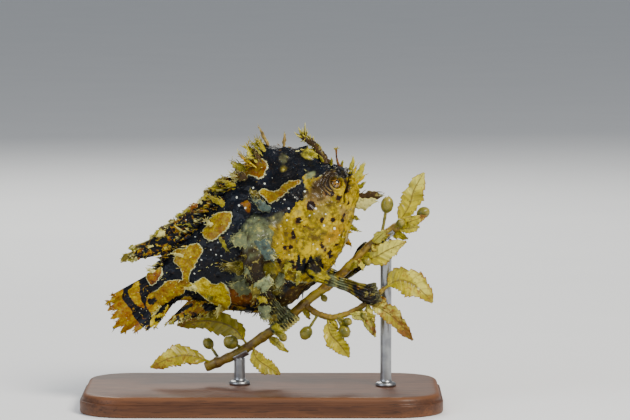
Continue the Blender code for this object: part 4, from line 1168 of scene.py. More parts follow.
@functools.lru_cache
def fish_skin():
    """Wet skin: blue-black ground, white-rimmed patches, olive cheek with spots, pale flap tips."""
    look = bpy.context.scene.fish_colours
    paint = Paint("mottled_skin", look.ground, coat=0.13, specular=0.1)
    mark = paint.attribute
    fine = paint.noise(0.4)
    soft = paint.noise(1.4, 4.0)
    broad = paint.noise(4.5)
    drift = (paint.noise(2.1, 4.0, distortion=0.5) - 0.5) * 4.5 + (fine - 0.5) * 1.6
    paint.over(broad, 0.4, 0.65, (9, 16, 27))
    paint.over(paint.noise(2.4, 4.0, distortion=0.6), 0.6, 0.74, (72, 54, 20), 0.28)

    # Fins and limbs: rust and gold blotches over the dark ground.
    blotch_colour = paint.ramp(
        soft,
        (0.34, (56, 34, 10)),
        (0.44, (104, 60, 4)),
        (0.54, GOLD_ORANGE),
        (0.62, (164, 138, 20)),
        (0.7, TINTS["pale"]),
    )
    mottle = mark("mottle")
    blotch = paint.noise(1.5, 4.0, distortion=1.0) + (mottle - 1.0) * 0.3
    paint.lay(paint.step(blotch, 0.44, 0.49) * paint.step(mottle, 0, 0.1), blotch_colour)

    # Cheek: olive, ochre and gold, pebbled, with painted shade between the pebbles and a painted
    # highlight on each, and a broken pale rim.
    cheek_edge = mark("cheek") + drift * 0.6
    cheek = paint.ramp(
        soft * 0.65 + broad * 0.45,
        (0.4, (84, 66, 8)),
        (0.48, look.cheek),
        (0.55, (158, 134, 2)),
        (0.62, (190, 164, 20)),
        (0.7, (150, 134, 64)),
    )
    pebble = paint.cells(0.8)
    # Painted shade in the gaps between the pebbles.
    cheek = paint.layer(cheek, pebble, 0.5, 0.75, (82, 62, 8), 0.45)
    # Painted highlight on each pebble's raised centre.
    cheek = paint.layer(cheek, pebble, 0.26, 0.06, (206, 182, 60), 0.4)
    paint.over(cheek_edge, 0.12, -0.1, cheek)
    cheek_rim = paint.step(cheek_edge, 0.36, 0.26) * paint.step(cheek_edge, 0.02, 0.1)
    rim_break = paint.step(paint.noise(2.6, 1.0), 0.5, 0.58)
    paint.lay(cheek_rim * rim_break * 0.7, look.rim)

    # Soft washes laid over the ground, flecked with brown and straw, and a fine dark stipple.
    wash = paint.layer(mark("wash", "Color"), soft, 0.5, 0.36, (40, 32, 12), 0.55)
    wash = paint.layer(wash, soft + fine * 0.3, 0.72, 0.84, (188, 176, 84), 0.4)
    paint.over(mark("wash", "Alpha") + (soft - 0.5) * 0.7, 0.15, 0.7, wash)
    grain = paint.cells(0.5)
    stipple = paint.step(grain, 0.34, 0.12)
    paint.lay(stipple * paint.step(soft, 0.56, 0.44) * 0.5, (66, 42, 10))

    # Patches and their rims, streaks and shade.
    edge = mark("patch") + drift * 0.36
    rim = mark("rim") * (0.1 + 1.5 * paint.noise(1.1))
    paint.lay(paint.step(edge - rim, 0.05, -0.04) * paint.step(rim, 0.05, 0.12), look.rim)
    patch = paint.ramp(
        mark("tone") + (soft - 0.5) * 1.3 + (fine - 0.5) * 0.7,
        (0.0, (84, 42, 4)),
        (0.2, look.orange),
        (0.5, GOLD_ORANGE),
        (0.75, look.yellow),
        (1.0, (204, 186, 60)),
    )
    patch = paint.blend(stipple * paint.step(soft, 0.6, 0.45) * 0.45, patch, (88, 54, 6))
    paint.over(edge, 0.06, -0.05, patch)
    paint.over(mark("streak") + drift * 0.5, 0.1, -0.1, look.ground)
    paint.lay(mark("shade") * (0.4 + 1.2 * soft), (150, 140, 118), "MULTIPLY")

    # Spots, painted shade in the creases, dots, flecks and pale tips.
    spot = mark("spot") + (soft - 0.5) * 1.3 + (fine - 0.5) * 0.9
    paint.over(spot, 0.3, -0.05, (96, 48, 6), 0.6)
    paint.over(spot, 0.06, -0.08, (26, 12, 6))
    # Painted shade: the creases are darkened to a dark brown.
    paint.over(mark("crease") * (0.4 + 1.2 * soft), 0.1, 0.7, (34, 24, 12))
    paint.over(mark("dot") + (fine - 0.5) * 0.3, 0.04, -0.05, (226, 230, 214))
    for size, reach, tint in ((1.25, 0.1, (206, 208, 180)), (0.7, 0.12, (112, 132, 152))):
        chosen = paint.step(paint.cells(size, "Color"), 0.58, 0.62)
        paint.lay(paint.step(paint.cells(size), reach, reach * 0.6) * chosen * 0.8, tint)
    paint.over(mark("tip") + (fine - 0.5) * 0.3, 0.45, 0.95, TINTS["pale"])
    height = fine * 0.6 + grain * 0.6 + soft * 0.4 - pebble * 0.5
    return paint.finish(0.36 + 0.24 * fine, height, 0.18, 0.7)


@functools.lru_cache
def eye_gloss():
    """Golden-brown iris broken by dark brown rays round a dark pupil, under a clear coat."""
    paint = Paint("eye_gloss", roughness=0.12, coat=1.0, coat_roughness=0.03)
    ring = paint.attribute("ring")
    grain = paint.noise(0.25, 3.0)
    paint.base = paint.ramp(
        ring + (grain - 0.5) * 0.2,
        (0.0, (170, 122, 10)),
        (0.4, (146, 104, 8)),
        (0.65, (110, 82, 14)),
        (1.0, (60, 46, 14)),
    )
    paint.over(paint.attribute("rays") + (grain - 0.5) * 0.9, -0.15, 0.15, (30, 18, 8))
    paint.over(ring, 0.27, 0.24, (150, 108, 14))
    paint.over(ring, 0.24, 0.21, (4, 4, 5))
    return paint.finish()


@functools.lru_cache
def weed_bark():
    """Olive-brown stem: streaks along it, pale flecks and a browner foot, satin."""
    paint = Paint("weed_stem", (94, 70, 6), coat=0.15, coat_roughness=0.3)
    streak = paint.noise(0.9, 4.0, paint.place((0.35, 1.0, 0.5)))
    patchy = paint.noise(4.0, 3.0)
    paint.over(streak, 0.4, 0.6, bpy.context.scene.fish_colours.stem)
    paint.over(patchy, 0.5, 0.62, (146, 130, 14), 0.7)
    paint.lay(paint.attribute("low") * 0.45, (84, 56, 8))
    paint.over(paint.cells(0.8), 0.2, 0.1, (190, 168, 80), 0.55)
    return paint.finish(0.42 + 0.2 * streak, streak * 0.7 + patchy * 0.3, 0.2, 0.6)


@functools.lru_cache
def weed_leaf():
    """Olive-yellow blade: darker midrib and veins, brown pores and stains, browned margin."""
    leaf = bpy.context.scene.fish_colours.leaf
    paint = Paint("weed_leaf", leaf, coat=0.2, coat_roughness=0.2, specular=0.25)
    margin = paint.attribute("margin")
    cloud = paint.noise(2.4, 4.0, distortion=0.6)
    fine = paint.noise(0.5)
    paint.over(cloud, 0.42, 0.6, (182, 168, 28))
    paint.over(paint.noise(7.0), 0.5, 0.6, (212, 204, 88), 0.75)
    stained = paint.attribute("age") + (cloud - 0.5) * 1.6 + (fine - 0.5) * 0.5
    paint.over(stained, 0.35, 0.75, (122, 78, 12))
    paint.over(stained, 0.85, 1.1, (70, 38, 10))
    rib = paint.step(margin, 0.11, 0.03)
    paint.lay(rib * 0.75, (104, 84, 14))
    paint.over(paint.attribute("veins"), 0.75, 0.98, (96, 84, 14), 0.3)
    paint.over(paint.cells(0.95), 0.19, 0.1, (64, 38, 10), 0.85)
    paint.over(margin + (cloud - 0.5) * 0.6, 0.82, 1.0, (116, 68, 12), 0.7)
    return paint.finish(0.36 + 0.22 * fine, cloud * 0.5 + fine * 0.5 - rib, 0.16, 0.5)


@functools.lru_cache
def weed_bladder():
    """Olive-green bladder: smooth, with small dark pores and a paler crown."""
    paint = Paint("weed_bladder", (84, 84, 22), coat=0.35, coat_roughness=0.14, specular=0.25)
    fine = paint.noise(0.35)
    paint.over(paint.noise(1.8), 0.35, 0.65, (128, 118, 34))
    pores = paint.cells(0.62)
    paint.over(pores, 0.22, 0.1, (42, 34, 8), 0.8)
    paint.lay(paint.attribute("crown") * 0.5, (166, 150, 62))
    return paint.finish(0.3 + 0.2 * fine, fine - pores * 0.6, 0.06, 0.4)


@functools.lru_cache
def stand_wood():
    """Dark varnished hardwood: rings drawn out along the base, pores and a worn edge."""
    wood = bpy.context.scene.fish_colours.wood
    paint = Paint("stand_wood", wood, coat=0.15, coat_roughness=0.3, specular=0.25)
    long = paint.place((0.09, 1.0, 1.0))
    rings = paint.noise(1.6, 4.0, long, 1.2)
    pores = paint.noise(0.35, 2.0, paint.place((0.06, 1.0, 1.0)))
    paint.over(rings, 0.35, 0.66, (104, 64, 38))
    paint.over(paint.noise(7.0, 2.0, long), 0.35, 0.7, (58, 34, 22), 0.45)
    paint.over(pores, 0.58, 0.66, (30, 18, 12), 0.6)
    paint.lay(paint.attribute("wear") * 0.4, (140, 92, 56))
    return paint.finish(0.48 + 0.18 * pores, rings * 0.3 - pores, 0.05, 0.35)


@functools.lru_cache
def rod_steel():
    """Brushed steel: fine turning marks round the rod and faint smears."""
    paint = Paint("rod_steel", (176, 178, 180), metallic=1.0)
    marks = paint.noise(0.12, 3.0, paint.place((0.08, 0.08, 1.0)))
    smear = paint.noise(3.0)
    paint.over(smear, 0.4, 0.7, (150, 152, 156))
    paint.lay(marks * 0.3, (112, 114, 118))
    return paint.finish(0.24 + 0.16 * marks + 0.08 * smear, marks, 0.01, 0.4)


def stage_floor():
    """Pale matt floor with a barely visible grain."""
    paint = Paint("stage_floor", (240, 242, 245), roughness=0.9)
    cloud = paint.noise(60.0, 3.0)
    paint.lay(cloud, (246, 248, 250))
    return paint.finish(0.86 + 0.08 * cloud)


# Properties


def length_property(name, description, default):
    return bpy.props.FloatProperty(
        name=name, description=description, default=default, unit="LENGTH", min=0.0
    )


def count_property(name, description, default, least):
    return bpy.props.IntProperty(name=name, description=description, default=default, min=least)


def power_property(name, description, default):
    return bpy.props.FloatProperty(
        name=name, description=description, default=default, unit="POWER", min=0.0
    )


def colour_property(name, description, *default):
    """A colour whose default is given in display values from 0 to 255."""
    return bpy.props.FloatVectorProperty(
        name=name, description=description, default=linear(default), subtype="COLOR", min=0.0, max=1.0
    )


class FishSizes(bpy.types.PropertyGroup):
    """Sizes of the fish's pieces."""

    skin_rings: count_property("Skin rings", "Rings of the skin from snout to tail", 350, 40)
    skin_sides: count_property("Skin sides", "Points round each ring of the skin", 272, 24)
    dorsal_notch: bpy.props.FloatProperty(
        name="Dorsal notch",
        description="How deep the dorsal fin's edge is cut between rays, as a share",
        default=0.16,
        subtype="FACTOR",
        min=0.0,
        max=0.8,
    )
    fin_half: length_property("Membrane", "Half thickness of a fin's membrane", 0.16 * MM)
    ray_ridge: length_property("Ray ridge", "How far a ray stands out on each face", 0.24 * MM)
    cirrus_length: length_property("Cirrus", "Length of the small skin filaments", 1.1 * MM)
    cirrus_count: count_property("Cirri", "Number of small skin filaments on the body", 800, 0)


class FishColours(bpy.types.PropertyGroup):
    """Colours of the fish, the weed and the stand."""

    ground: colour_property("Ground", "Blue-black ground of the flank", 4, 6, 12)
    orange: colour_property("Orange", "Deep orange of the patches", 126, 74, 0)
    yellow: colour_property("Yellow", "Bright yellow of the patches", 178, 156, 0)
    rim: colour_property("Rim", "Pale rim of the patches", 190, 192, 140)
    cheek: colour_property("Cheek", "Olive of the cheek", 118, 104, 12)
    stem: colour_property("Stem", "Olive brown of the weed's stem", 140, 112, 8)
    leaf: colour_property("Leaf", "Olive yellow of the weed's leaves", 146, 134, 16)
    wood: colour_property("Wood", "Dark wood of the base", 78, 46, 28)


class StageSettings(bpy.types.PropertyGroup):
    """Camera and lights."""

    distance: length_property("Distance", "From the camera to the fish", 0.95)
    view_width: length_property("View width", "Width of the view at the fish", 157.5 * MM)
    elevation: bpy.props.FloatProperty(
        name="Elevation",
        description="How far the camera looks down on the fish",
        default=math.radians(5.0),
        subtype="ANGLE",
    )
    key_power: power_property("Key light", "Power of the main light", 9.6)
    fill_power: power_property("Fill light", "Power of the fill light", 2.4)


# Pieces


def on_branch(route, share):
    """Point of a stem or twig that far along it."""
    return smooth_rows(route, share * (len(route) - 1))


def skin_piece(name, shape, slot, marks, *nodes):
    """Makes a piece of fish skin from a body-frame shape; nodes are those that it replaces."""
    points, *faces = shape
    make_piece("fish_" + name, (to_world(points), *faces), fish_skin(), nodes, marks)


class FISH_OT_skin(bpy.types.Operator):
    """One skin over the head, torso, tail root and hump"""

    bl_idname = "fish.skin"
    bl_label = "Skin"

    def execute(self, context):
        sizes = context.scene.fish_sizes
        points, _, marks = skin_surface(sizes.skin_rings, sizes.skin_sides)
        marks = {name: np.concatenate((each, each[:1], each[-1:])) for name, each in marks.items()}
        nodes = ("head", "torso", "tail_root", "third_spine")
        skin_piece("skin", tube(points), "mottled_skin", marks, *nodes)
        return {"FINISHED"}


class FISH_OT_eyes(bpy.types.Operator):
    """Eyeballs with a slight bulge in front, their iris rings and rays as attributes"""

    bl_idname = "fish.eyes"
    bl_label = "Eyes"

    def execute(self, context):
        rows, sides = 44, 96
        tilt = np.linspace(0.02, math.pi - 0.02, rows)[:, None, None]
        turn = turns(sides)[:, None]
        radius = EYE_RADIUS * (0.93 + 0.07 * np.exp(-((tilt / 0.55) ** 2)))
        rays = sum(np.sin(k * turn + p) for k, p in ((7, 0.4), (11, 1.9), (17, 3.0))) / 3
        marks = {
            "ring": np.append(np.repeat(tilt / 1.35, sides), (0.0, 2.0)),
            "rays": np.append(np.tile(rays.ravel(), rows), (0.0, 0.0)),
        }
        for name, side in (("eye_right", 1), ("eye_left", -1)):
            centre, look = eye_frame(side)
            look = unit(look + np.array((-0.24, 0.05, 0.0)))
            first = unit(np.cross(look, (0, 1, 0)))
            out = np.cos(turn) * first + np.sin(turn) * np.cross(look, first)
            rings = centre + radius * (np.cos(tilt) * look + np.sin(tilt) * out)
            shape = tube(to_world(rings))
            make_piece("fish_" + name, shape, eye_gloss(), (name,), marks)
        return {"FINISHED"}


def ray_fin(root_of, tips, sizes, rays, notch, wave, seed, per_ray=12, rows=30):
    """Closed fin in the body's middle plane with a frayed edge, each point's place, and its grid.

    Rays run from root_of(share) to a smooth line through the tips, (behind, height) in mm.
    Thickness is the membrane plus a ridge that follows a narrow cosine on each ray, in joints;
    the edge is set back between rays.
    """
    draw = np.random.default_rng(seed)
    place = np.linspace(0, rays - 1, (rays - 1) * per_ray + 1)
    share = place / (rays - 1)
    root, tip = root_of(share), smooth_rows(np.array(tips), share * (len(tips) - 1))
    along = np.linspace(0, 1, rows)[None, :]
    off_ray = np.abs((place + 0.5) % 1.0 - 0.5)
    valley = np.sin(math.pi * off_ray)[:, None] ** 1.9
    place = place[:, None]
    lengths = smooth_rows(draw.uniform(-0.08, 0.04, (rays, 1)), place[:, 0])
    frays = 0.035 * np.sin(place * 41.0) + 0.03 * np.sin(place * 67.0 + 1.0)
    reach = along * (1 + (lengths + frays * valley) * along**2 - notch * valley * along**3)
    mid = root[:, None] * (1 - reach[..., None]) + tip[:, None] * reach[..., None]
    sway = wave * np.sin(place * 2.1) * along**2
    flutter = 0.22 * np.sin(place * 5.3 + 2.0) * along**3
    mid = np.concatenate((mid, (sway + flutter)[..., None]), axis=-1)
    ridge = np.clip(np.cos(off_ray * math.pi / 0.46), 0, 1)[:, None] ** 1.2
    joints = 1 + 0.16 * np.sin(along * 46.0)
    thin = 1 - 0.75 * along**1.6
    half = sizes.fin_half / MM * (1 - 0.6 * along**2) + sizes.ray_ridge / MM * ridge * thin * joints
    half = half + 0.35 * soft_step(0.16, 0.0, along) * (0.3 + 0.7 * ridge)
    edge = mid[:: per_ray // 3, : rows - 1].transpose(1, 0, 2)
    fringe, fringe_along = shoots(edge, 9 * rays, 1.1, 0.5, draw, True)
    shape = joined((sheet(mid, half, (0.0, 0.0, 1.0)), fringe))
    lengthwise = np.tile(along.ravel(), 2 * len(mid))
    return shape, np.append(lengthwise, 0.85 + 0.3 * fringe_along), mid


class FISH_OT_fins(bpy.types.Operator):
    """Dorsal, anal and tail fins with frayed edges and jointed rays"""

    bl_idname = "fish.fins"
    bl_label = "Fins"

    def execute(self, context):
        sizes = context.scene.fish_sizes
        sink = 0.7

        def back(share):
            behind = 22.6 + 24.0 * share
            return np.column_stack((behind, section(behind)[0] - sink))

        def belly(share):
            behind = 41.8 + 7.6 * share
            return np.column_stack((behind, section(behind)[1] + sink))

        def tail(share):
            return np.column_stack((np.full_like(share, 52.4), 2.5 - 8.8 * share))

        notch = sizes.dorsal_notch
        fins = (
            ("dorsal_fin", back, DORSAL_TIPS, (12, notch, 0.6, 21), 0.72, 0.8),
            ("anal_fin", belly, ANAL_TIPS, (7, 0.2, 0.5, 22), 0.9, 0.7),
            ("tail_fin", tail, TAIL_TIPS, (9, 0.12, 0.6, 23, 14, 40), 0.45, 0.5),
        )
        grids = {}
        for name, root_of, tips, form, mottle, pale in fins:
            shape, along, grids[name] = ray_fin(root_of, tips, sizes, *form)
            marks = read_marks(shape[0][:, :2], view_to_body)
            marks["cheek"] = np.full(len(along), FAR)
            marks["rim"] = marks["rim"] * 0.4
            marks["mottle"] = mottle * soft_step(0.02, 0.25, along)
            marks["tip"] = pale * along**3
            skin_piece(name, shape, "fin_skin", marks, name)
        self.edge_flaps("dorsal_flaps", grids["dorsal_fin"], 44, 1.9, 24)
        self.edge_flaps("anal_flaps", grids["anal_fin"], 14, 1.6, 25)
        return {"FINISHED"}

    def edge_flaps(self, name, mid, count, length, seed):
        """Fleshy flaps near a fin's edge and over its end, leaning back, in the flank's colours."""
        draw = np.random.default_rng(seed)
        columns, rows = mid.shape[:2]
        tints = ("rust", "olive", "umber", "lobe_yellow", "umber", "leaf", "pale")
        made = []
        for number in range(count):
            column = int(round((number + 0.5) / count * (columns - 1)))
            row = int(rows * draw.uniform(0.55, 0.97))
            root = mid[column, row]
            way = unit(root - mid[column, row - 3]) + (0.25, 0.1, 0.0)
            way = way + draw.normal(size=3) * (0.3, 0.3, 0.5)
            size = length * draw.uniform(0.6, 1.25)
            width = size * draw.uniform(0.5, 0.75)
            form = (size, width, (0.2, 0.0, 0.0), tints[number % len(tints)], number, 1.2, 10, 7)
            across = np.cross(way, (0.0, 0.0, 1.0))
            made.append(leafy_flap(root - 0.2 * unit(way), way, across, *form))
        add_flaps(name, made)


def limb(path, across, widths, depths, flatness, rays, notch, rows=72, per_ray=8):
    """An arm that flattens to a hand of rays with drop-shaped ends, and its places.

    A ring is an ellipse on the arm and a flat band of ridges on the hand; between the rays the
    band is set back towards the wrist, so that the ray ends stand free. Gives the shape, how far
    along each point is, and the rings.
    """
    path = sampled(path, rows)
    across = sampled(np.broadcast_to(across, (len(widths), 3)), rows)
    travel, wide, deep = frames_along(path, across)
    widths, depths = smooth_values(widths, rows), smooth_values(depths, rows)
    flat = np.clip(smooth_values(flatness, rows), 0, 1)[:, None]
    c = np.linspace(-1, 1, rays * per_ray + 1)
    crest = np.sin(math.pi * ((c + 1) / 2 * rays % 1.0)) ** 0.8
    rim = np.minimum(1, 12 * (1 - np.abs(c)))
    share = np.linspace(0, 1, rows)[:, None]
    x = (1 - flat) * np.sin(c * math.pi / 2) + flat * c
    y = (1 - flat) * np.cos(c * math.pi / 2) + flat * (0.22 + 0.78 * crest) * rim
    y = y * (1 - 0.55 * soft_step(0.8, 1.0, share))
    set_back = soft_step(0.62, 1.0, share) ** 1.4 * notch * (1 - crest) ** 1.5
    knuckles = 1 + 0.12 * flat * np.sin(share * 70.0)
    upper = path[:, None] + (widths[:, None] * x)[..., None] * wide[:, None]
    upper = upper - set_back[..., None] * travel[:, None]
    lift = (depths[:, None] * y * knuckles)[..., None] * deep[:, None]
    rings = np.concatenate((upper + lift, (upper - lift)[:, -2:0:-1]), axis=1)
    bumps = 0.17 * ripple(rings, 2.4, 9) + 0.09 * ripple(rings, 0.9, 10)
    bumps = bumps + 0.14 * np.maximum(ripple(rings, 1.2, 11, 18) - 0.8, 0.0)
    bumps = bumps * soft_step(0.0, 0.12, share) * (1 - 0.7 * flat)
    rings = rings + bumps[..., None] * unit(rings - path[:, None])
    each = np.ones(rays)
    drops, drop_along = flaps(
        upper[-4, per_ray // 2 :: per_ray],
        np.repeat(travel[-1:], rays, 0),
        np.repeat(wide[-1:], rays, 0),
        each * (0.2 * notch + 0.7),
        each * (1.05 * widths[-1] * 2 / rays),
        np.zeros((rays, 3)),
        rows=7,
        sides=8,
        thin=0.55,
        leaf=1.0,
    )
    along = np.append(np.repeat(share[:, 0], rings.shape[1]), (0.0, 1.0))
    return joined((tube(rings), drops)), np.append(along, 0.97 + 0.05 * drop_along), rings


def add_limb(name, shape, along, bands, root_tint, tips=0.95):
    """Makes a limb: bands of colour along it, (place, reach, colour, strength), and pale tips."""
    marks = plain_marks(len(along))
    wobble = 0.05 * ripple(shape[0], 3.0, 8)
    for place, reach, tint, strength in bands:
        lay_wash(marks, tint, strength * bell(along + wobble - place, reach))
    marks["mottle"] = 0.55 * soft_step(0.2, 0.4, along) * soft_step(0.98, 0.9, along)
    marks["tip"] = soft_step(0.86, 0.96, along) * tips
    lay_wash(marks, root_tint, soft_step(0.16, 0.04, along))
    make_piece("fish_" + name, shape, fish_skin(), (name,), marks)


def grip_frame(share):
    """Point, direction and two side directions on the stem: towards the viewer, and down."""
    step = 0.05 / (len(STEM_ROUTE) - 1)
    travel = unit(on_branch(STEM_ROUTE, share + step) - on_branch(STEM_ROUTE, share - step))
    near = unit(RIGHTWARDS - (RIGHTWARDS @ travel) * travel)
    down = np.cross(travel, near)
    down = down if down[2] < 0 else -down
    return on_branch(STEM_ROUTE, share), travel, near, down


class FISH_OT_arms(bpy.types.Operator):
    """Arm-like pectoral fins that reach down and close on the stem"""

    bl_idname = "fish.arms"
    bl_label = "Pectoral fins"

    def execute(self, context):
        radius = STEM_RADII[0] + 0.9
        centre, travel, near, down = grip_frame(GRIP_ON_STEM)
        across = np.vstack((np.tile(BACKWARDS + 0.5 * UPWARDS, (4, 1)), np.tile(-travel, (7, 1))))
        widths = np.array((4.4, 3.7, 3.0, 2.5, 2.1, 2.2, 2.6, 3.0, 3.3, 3.5, 3.7))
        depths = np.array((3.8, 3.1, 2.3, 1.9, 1.5, 1.1, 0.75, 0.56, 0.48, 0.42, 0.3))
        flatness = (0.0, 0.0, 0.0, 0.0, 0.1, 0.4, 0.8, 1.0, 1.0, 1.0, 1.0)
        for name, side in (("pectoral_fin_right", 1), ("pectoral_fin_left", -1)):
            root, normal = skin_place(*SHOULDER, side)
            arm = to_world(ARM_ROUTE * (1, 1, side))
            curl = [
                centre + radius * (math.cos(bend) * near * side + math.sin(bend) * down)
                for bend in np.radians((-48.0, -8.0, 30.0, 60.0))
            ]
            path = np.array([to_world(root - 2.2 * normal), to_world(root), *arm, *curl])
            shape, along, rings = limb(path, across, widths, depths, flatness, 9, 2.1)
            add_limb(name, shape, along, ARM_BANDS, "lobe_grey")
            self.lobes(name, rings)
        return {"FINISHED"}

    def lobes(self, name, rings):
        """Leafy lobes on the shoulder and the arm, from the table of lobes."""
        outer = unit(rings.mean(1)[20] - to_world((30.0, -6.0, 0.0)))
        made = []
        for row, height, back, down, length, width, tint in ARM_LOBES:
            way = unit(back * BACKWARDS - down * UPWARDS + 0.2 * outer)
            ring = rings[row]
            facing = unit(outer + height * UPWARDS)
            root = ring[((ring - ring.mean(0)) @ facing).argmax()] - 0.5 * facing
            form = (length, width, -0.2 * outer, tint, row)
            made.append(leafy_flap(root, way, np.cross(way, facing), *form))
        add_flaps("lobes_" + name[-5:].strip("_"), made, False)


def leafy_flap(root, way, across, length, width, bend, tint, seed, rate=2.5, rows=20, columns=13):
    """A broad leaf-like flap with a ragged edge and side shoots, and its marks.

    Its half width follows sin(pi * s), cut by saw teeth and random swells towards its edge.
    """
    draw = np.random.default_rng(seed)
    s = np.linspace(0, 1, rows)[:, None]
    path = root + length * (s * unit(way) + s**2 * np.asarray(bend))
    _, wide, deep = frames_along(path, across)
    half = width / 2 * (0.35 * (1 - s) + np.sin(math.pi * (0.08 + 0.88 * s)) ** 0.7)
    c = np.linspace(-1, 1, columns)
    side, off = np.sign(c), np.abs(c)
    phases = draw.uniform(0, 6, 4)
    swell = 0.2 * np.sin(s * 9 + phases[0] + side) + 0.14 * np.sin(s * 23 + phases[1] + 2 * side)
    mid = path[:, None] + (half * c * (1 + swell * off**2))[..., None] * wide[:, None]
    jag = 0.09 * length * np.sin(c * 5 + phases[2]) * s**4
    cup = 0.16 * width * off**2 * np.sin(math.pi * s)
    frill = 0.12 * np.sin(s * 19 + c * 3 + phases[3]) * off**2
    mid = mid + jag[..., None] * unit(way) + (cup + frill)[..., None] * deep[:, None]
    rib = 0.1 * bell(c, 0.18) * (1 - s)
    blade = sheet(mid, (0.17 - 0.1 * off**2) * (1 - 0.6 * s) + rib, deep[:, None])
    count = int(2.4 * rate + rate * length)
    fringe, fringe_along = shoots(mid, count, 0.22 * length + 0.3, 0.3, draw)
    along = np.append(np.tile(np.repeat(s, columns), 2), fringe_along * 0.6 + 0.4)
    marks = plain_marks(len(along))
    lay_wash(marks, tint, np.full(len(along), 0.95))
    edge = np.append(np.tile(off, 2 * rows), np.full(len(fringe_along), 0.6))
    marks["tip"] = np.maximum(along**2 * 0.75, 0.7 * edge**4)
    return joined((blade, fringe)), marks


def add_flaps(name, made, in_body=True):
    """Makes one piece of several flaps with their marks, in the body frame or the model's."""
    shapes, marks = zip(*made)
    together = {key: np.concatenate([each[key] for each in marks]) for key in marks[0]}
    points, *faces = joined(shapes)
    shape = (to_world(points) if in_body else points, *faces)
    make_piece("fish_" + name, shape, fish_skin(), (), together)


class FISH_OT_pelvic_fins(bpy.types.Operator):
    """Pelvic fins from under the throat: the near one on the twig, the far one on the stem"""

    bl_idname = "fish.pelvic_fins"
    bl_label = "Pelvic fins"

    def execute(self, context):
        widths = smooth_values((2.9, 2.3, 1.6, 1.45, 1.7, 2.3, 2.7), 9)
        depths = smooth_values((2.6, 2.1, 1.4, 1.05, 0.7, 0.5, 0.3), 9)
        flatness = (0.0, 0.0, 0.05, 0.2, 0.6, 1.0, 1.0, 1.0, 1.0)
        near_end = ((18.6, -8.0, 31.75), (22.65, -7.2, 30.4), (26.2, -6.6, 28.6), (29.2, -6.4, 29.2))
        far_end = ((18.6, 6.6, 31.6), (22.0, 4.2, 33.4), (24.6, 1.8, 36.4), (27.4, 0.6, 39.4))
        for name, side, end in (("pelvic_fin_right", 1, near_end), ("pelvic_fin_left", -1, far_end)):
            way = unit((0.0, -0.8, 0.9 * side))
            root = seat(np.array((18.6, -13.0, 4.5 * side)), way)
            start = to_world([root + reach * way for reach in (-1.8, 0.0, 2.4)])
            path = sampled(np.concatenate((start, np.array(end))), 9)
            across = (0.1, -0.2, -1.0)
            shape, along, _ = limb(path, across, widths, depths, flatness, 5, 1.9, 60)
            add_limb(name, shape, along, PELVIC_BANDS, "moss", 0.55)
        return {"FINISHED"}


def fleshy_spine(route, widths, sink, rows=40, sides=18):
    """A knobbly tube in the body's middle plane, rooted under the skin, in the body frame."""
    path = np.column_stack((sampled(np.array(route), rows), np.zeros(rows)))
    path[0] -= np.array((0.0, sink, 0.0))
    radii = smooth_values(widths, rows)
    rings = tube_rings(path, radii, radii * 0.95, (0, 0, 1.0), sides)
    centre = path[:, None]
    knobs = 1 + 0.16 * ripple(rings, 1.1, 12) + 0.06 * ripple(rings, 0.5, 13)
    return centre + (rings - centre) * np.clip(knobs, 0.6, 1.4)[..., None], path


class FISH_OT_spines(bpy.types.Operator):
    """The lure's stalk with its bait, and the second spine with its tufts"""

    bl_idname = "fish.spines"
    bl_label = "Dorsal spines"

    def execute(self, context):
        draw = np.random.default_rng(41)
        route = ((0.3, 1.0), (0.3, 1.6), (0.0, 2.9), (-0.5, 4.1), (-1.1, 5.2))
        rings, path = fleshy_spine(route, (0.6, 0.42, 0.26, 0.22, 0.26), 0.0)
        bait_ways = draw.normal(size=(14, 3)) * (0.8, 0.5, 0.7) + (-0.3, 0.8, 0.0)
        lengths = draw.uniform(0.7, 1.3, 14)
        self.add("lure", rings, path[-1:].repeat(14, 0), bait_ways, lengths, draw, "rust")
        route = ((3.0, 3.2), (2.9, 4.5), (2.7, 6.6), (2.9, 8.8), (3.5, 10.8), (4.6, 12.6))
        rings, path = fleshy_spine(route, (1.9, 1.3, 1.0, 0.92, 0.85, 0.5), 0.4, 60)
        at = np.sort(draw.uniform(0.15, 1.0, 80) ** 0.5)
        ways = draw.normal(size=(80, 3)) * (1.0, 0.5, 0.8) + (-0.1, 0.9, 0.0)
        ways[at > 0.9] += np.array((0.5, 0.2, 0.0))
        lengths = draw.uniform(1.1, 2.0, 80) * (1 + 0.5 * (at > 0.88))
        self.add("second_spine", rings, on_branch(path, at), ways, lengths, draw, "umber")
        return {"FINISHED"}

    def add(self, node, rings, roots, ways, lengths, draw, tint):
        """Makes a spine piece from its rings and its tufts, both in the body frame."""
        count = len(roots)
        widths = lengths * draw.uniform(0.2, 0.4, count)
        bends = draw.normal(size=(count, 3)) * 0.22
        tufts, along = flaps(roots, ways, draw.normal(size=(count, 3)), lengths, widths, bends)
        shape = joined((tube(rings), tufts))
        marks = plain_marks(len(shape[0]), 0.5)
        lay_wash(marks, tint, np.full(len(shape[0]), 0.55))
        marks["tip"][-len(along) :] = along * 0.85
        lay_wash(marks, "straw", 0.85 * soft_step(0.1, 0.7, marks["tip"]))
        skin_piece(node, shape, "mottled_skin", marks, node)


